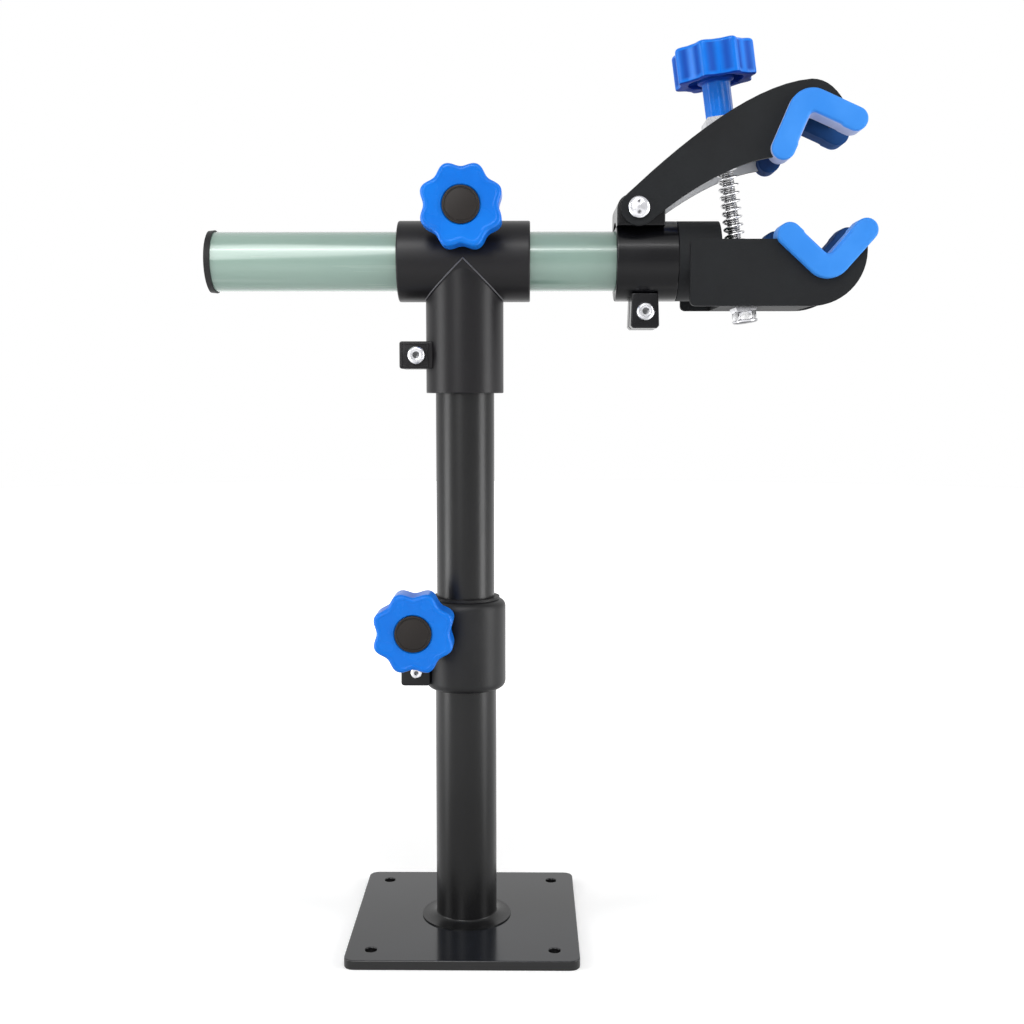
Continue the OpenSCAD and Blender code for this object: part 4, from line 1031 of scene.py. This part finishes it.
def v_outline():
    """The V with its corner at the origin and its mouth upward, and how far each point is a gripping one."""
    slope = math.sin(math.radians(HALF_ANGLE))
    right, left = 90 - HALF_ANGLE, 90 + HALF_ANGLE
    tip = lambda a: PAD_LEG * np.array([math.cos(math.radians(a)), math.sin(math.radians(a))])
    outline = even(np.concatenate([
        arc((0, (PAD_HALF + PAD_INNER) / slope), PAD_INNER, 180 + HALF_ANGLE, 360 - HALF_ANGLE, 9),
        arc(tip(right), PAD_HALF, right + 90, right - 90, 17),
        arc((0, (PAD_CORNER - PAD_HALF) / slope), PAD_CORNER, right - 90, left - 270, 17),
        arc(tip(left), PAD_HALF, left + 90, left - 90, 17)]), 1.2 * MM)
    x, y = outline.T
    along = np.abs(x) * math.cos(math.radians(right)) + y * math.sin(math.radians(right))
    across = y * math.cos(math.radians(right)) - np.abs(x) * math.sin(math.radians(right))
    grip = np.clip((PAD_LEG - GRIP_END - along) / GRIP_EASE, 0, 1) * (across > 0.6 * PAD_HALF)
    return outline, grip


def turned_by(points, angle, place):
    """Points turned by an angle in degrees and moved: p = c + (x cos a - y sin a, x sin a + y cos a)."""
    a = math.radians(angle)
    return points @ np.array([[math.cos(a), math.sin(a)], [-math.sin(a), math.cos(a)]]) + place


def rail(angle, corner, side, painted_lining, rim=1.5 * MM, back=1.0 * MM, step=1.1 * MM, lining=0.4 * MM):
    """A rail across Y, from its outer face to its inner one, on the side -1 or 1 of the jaw."""
    outline, grip = v_outline()
    t = np.linspace(0, np.pi / 2, 6)
    rows = [(rim * (1 - np.sin(a)), PAD_OUT - rim * (1 - np.cos(a)), step, 0) for a in t]
    rows += [(0, PAD_OUT - rim - 0.3 * MM, step, 0), (0, PAD_OUT - rim - 0.7 * MM, lining, 1)]
    rows += [(0, y, lining, 1) for y in np.linspace(PAD_OUT - 6 * MM, PAD_IN + back + 0.5 * MM, 3)]
    rows += [(back * (1 - np.sin(a)), PAD_IN + back * (1 - np.cos(a)), lining, 1) for a in t[::-1]]
    rings = []
    for depth, y, set_back, painted_light in rows:
        flat = turned_by(inset(outline, depth + set_back * grip), angle, corner)
        rings.append(np.stack([flat[:, 0], side * y + 0 * grip, flat[:, 1], painted_lining * painted_light + 0 * grip], 1))
    return np.array(rings)


# the near upper rail's lining is marked for a painted highlight, and both far rails for painted shade
JAWS = (("lower", LOWER_TURN, LOWER_V, "arm", 0), ("upper", UPPER_TURN, UPPER_V, "upper_jaw", 1))
for jaw, angle, corner, body, painted_lining in JAWS:
    for where, side, finish, painted_light in (("near", -1, pad_rubber, painted_lining), ("far", 1, far_rubber, 1)):
        shell = rail(angle, corner, side, painted_light)
        piece(f"{jaw}_rail_{where}", [shell], finish, body, [f"{jaw}_pad_{where}"])

# %% [markdown]
# ## Bolts and nuts
# The clamp bolts have domed heads with a hexagon socket, the pivot has a plain dome, and every nut has its
# corners turned off to a cone. A hexagon in polar form is r = a / cos(angle from the nearest flat), so a
# head can pass from round to hexagon and back on the same rings. A thread that only peeps out needs no
# helix: a few rings of changing radius read the same. Sizes are shares of the thread's diameter d.

# %% Hexagons
def hexagon(half_flat, count=72):
    """Radius of a hexagon at each angle, with the flats' half width."""
    a = np.linspace(0, 2 * np.pi, count, endpoint=False)
    return half_flat / np.cos((a + np.pi / 6) % (np.pi / 3) - np.pi / 6)


def turned_rows(rows, count=72):
    """Rings from rows of (radius or array of radii, height, mark)."""
    a = np.linspace(0, 2 * np.pi, count, endpoint=False)
    r = np.array([row[0] + 0 * a for row in rows])
    h = np.array([row[1] + 0 * a for row in rows])
    return r * np.cos(a), r * np.sin(a), h, np.array([row[2] + 0 * a for row in rows])


def thread_rows(d, low, high):
    """Rows of a thread seen as grooves: the radius falls by up to 0.07 d in a wave of the height."""
    pitch = 0.16 * d
    h = np.arange(low, high, pitch / 4)
    # painted shade: thread grooves are marked 0.4 and painted darker
    return [(d / 2 - 0.035 * d * (1 - math.cos(2 * math.pi * (k - low) / pitch)), k, 0.4) for k in h]


def shank_rows(d, reach, threaded_to):
    """The tail, a stretch of thread and the plain shank of a bolt, up to its head's seat at height 0."""
    tail = [(0.02 * d, -reach, 0), (0.38 * d, -reach, 0), (0.46 * d, -reach + 0.1 * d, 0)]
    thread = thread_rows(d, -reach + 0.15 * d, -reach + threaded_to)
    return tail + thread + [(d / 2, -reach + threaded_to + 0.2 * d, 0), (d / 2, 0, 0)]


def socket_bolt(d, reach):
    """A bolt with a domed head: shank, head from below, crown, and the socket with mark 1."""
    head_r, head_h, flat = 0.925 * d, 0.65 * d, 0.45 * d
    under = [(head_r - 0.05 * d, 0, 0), (head_r, 0.04 * d, 0), (head_r, 0.22 * d, 0)]
    t = np.linspace(0, np.pi / 2, 9)[1:-2]
    crown = [(head_r * math.cos(a), 0.22 * d + (head_h - 0.22 * d) * math.sin(a), 0) for a in t]
    mouth = [(0.64 * d, head_h, 0), (hexagon(flat + 0.05 * d), head_h, 0)]
    # painted shade: the hexagon socket is marked 1 and painted dark
    socket = [(hexagon(flat), head_h - 0.05 * d, 1), (hexagon(flat), 0.3 * d, 1), (0.2 * d, 0.22 * d, 1),
              (0.02 * d, 0.22 * d, 1)]
    return shank_rows(d, reach, 2.2 * d) + under + crown + mouth + socket


def nut_rows(d, height):
    """A hexagon nut from its seat outwards: each ring is the hexagon, cut to the chamfer cone's radius."""
    hexed = hexagon(0.825 * d)
    cone = lambda r: np.minimum(hexed, r)
    full = 0.955 * d
    # painted shade: the nut's bore lip is marked 0.6 and painted darker
    return [(0.5 * d, 0, 0), (0.76 * d, 0, 0), (cone(0.84 * d), 0.02 * d, 0), (cone(full), 0.1 * d, 0),
            (cone(full), height - 0.1 * d, 0), (cone(0.84 * d), height - 0.02 * d, 0), (0.76 * d, height, 0),
            (0.56 * d, height, 0), (0.5 * d, height - 0.08 * d, 0.6)]


print("an M6 nut is", round(2 * 0.825 * 6, 1), "mm across its flats")

# %% [markdown]
# ## Clamp bolts
# Three pairs of ears are drawn together by a bolt each: M4 on the collar, M6 on the tee and on the head. The
# bolt's head lies on the front ear and the nut on the back one. One table holds their places.

# %% Clamp bolts and their nuts
EAR_BOLTS = {"collar": (4 * MM, -29.9 * MM, 166 * MM, "base"), "tee": (6 * MM, -28.6 * MM, 361 * MM, "post"),
             "head": (6 * MM, 109.3 * MM, 387.05 * MM, "arm")}
NUT_SHARE, REACH_SHARE = 0.8, 1.15
for where, (d, x, z, body) in EAR_BOLTS.items():
    bolt = set_in(facing_front(x, -EAR_FACE, z), *turned_rows(socket_bolt(d, 2 * EAR_FACE + REACH_SHARE * d)))
    nut = set_in(facing_back(x, EAR_FACE, z), *turned_rows(nut_rows(d, NUT_SHARE * d)))
    piece(f"{where}_socket_bolt", [bolt], bolt_zinc, body, [f"{where}_bolt"])
    piece(f"{where}_hexagon_nut", [nut], bolt_zinc, body, [f"{where}_nut"])

# %% [markdown]
# ## Pivot bolt
# The upper jaw turns on an M8 bolt with a plain dome. The photograph shows two dark dents in it, one above
# the other, as a press tool leaves them. Each is a bell curve taken off the dome's height, and is marked.

# %% Pivot bolt
def pivot_rows(d, reach):
    """A domed head with two punched dents, each a bell curve of the distance to its centre."""
    head_r, head_h = 0.825 * d, 0.45 * d
    under = [(head_r - 0.03 * d, 0, 0), (head_r, 0.03 * d, 0), (head_r, 0.1 * d, 0)]
    a = np.linspace(0, 2 * np.pi, 72, endpoint=False)
    crown = []
    for t in np.linspace(0, np.pi / 2, 22)[1:]:
        r = max(0.02 * d, head_r * math.cos(t))
        dent = np.exp(-((r * np.cos(a)) ** 2 + (np.abs(r * np.sin(a)) - 0.36 * d) ** 2) / (0.13 * d) ** 2)
        height = 0.1 * d + (head_h - 0.1 * d) * math.sin(t) - 0.06 * d * dent
        # painted shade: each dent is marked and painted dark
        crown.append((r, height, np.minimum(1, 1.4 * dent)))
    return shank_rows(d, reach, 1.3 * d) + under + crown


PIVOT_D, PIVOT_SEAT = 8 * MM, 26.3 * MM
dome = turned_rows(pivot_rows(PIVOT_D, 2 * PIVOT_SEAT + REACH_SHARE * PIVOT_D))
nut = turned_rows(nut_rows(PIVOT_D, NUT_SHARE * PIVOT_D))
at_dome, at_nut = facing_front(PIVOT[0], -PIVOT_SEAT, PIVOT[1]), facing_back(PIVOT[0], PIVOT_SEAT, PIVOT[1])
piece("pivot_dome_bolt", [set_in(at_dome, *dome)], bolt_zinc, "arm", ["pivot_bolt"])
piece("pivot_hexagon_nut", [set_in(at_nut, *nut)], bolt_zinc, "arm", ["pivot_nut"])

# %% [markdown]
# ## Washers and the screw's nut
# A flat washer lies under the post's knob and another under the arm's knob. Each has a body of its own, so
# each is a piece of its own. Its profile goes once round the section with broken edges. The nut at the
# screw's foot is the same nut as above, on the screw's place.

# %% Washers and the screw's nut
WASHER = [(4.2, 0), (8.1, 0), (8.5, 0.3), (8.5, 1.3), (8.1, 1.6), (4.6, 1.6), (4.2, 1.3)]
washer_rows = turned_rows([(r * MM, h * MM, 0) for r, h in WASHER], 64)
for name, knob in (("post_knob", POST_KNOB), ("arm_knob", ARM_KNOB)):
    ring = set_in(facing_front(knob[0], -EAR_FACE, knob[2]), *washer_rows)
    piece(f"{name}_ring", [ring], bolt_zinc, f"{name}_washer", [f"{name}_washer"])
LOCK_D, LOCK_H, LOCK_DOWN = 7.88 * MM, 5 * MM, 8.5 * MM
lock_rows = [(r, h - LOCK_DOWN, mark) for r, h, mark in nut_rows(LOCK_D, LOCK_H)]
lock_nut = set_in(at_rod, *turned_rows(lock_rows))
piece("foot_lock_nut", [lock_nut], screw_zinc, "clamp_screw", ["rod_nut"])
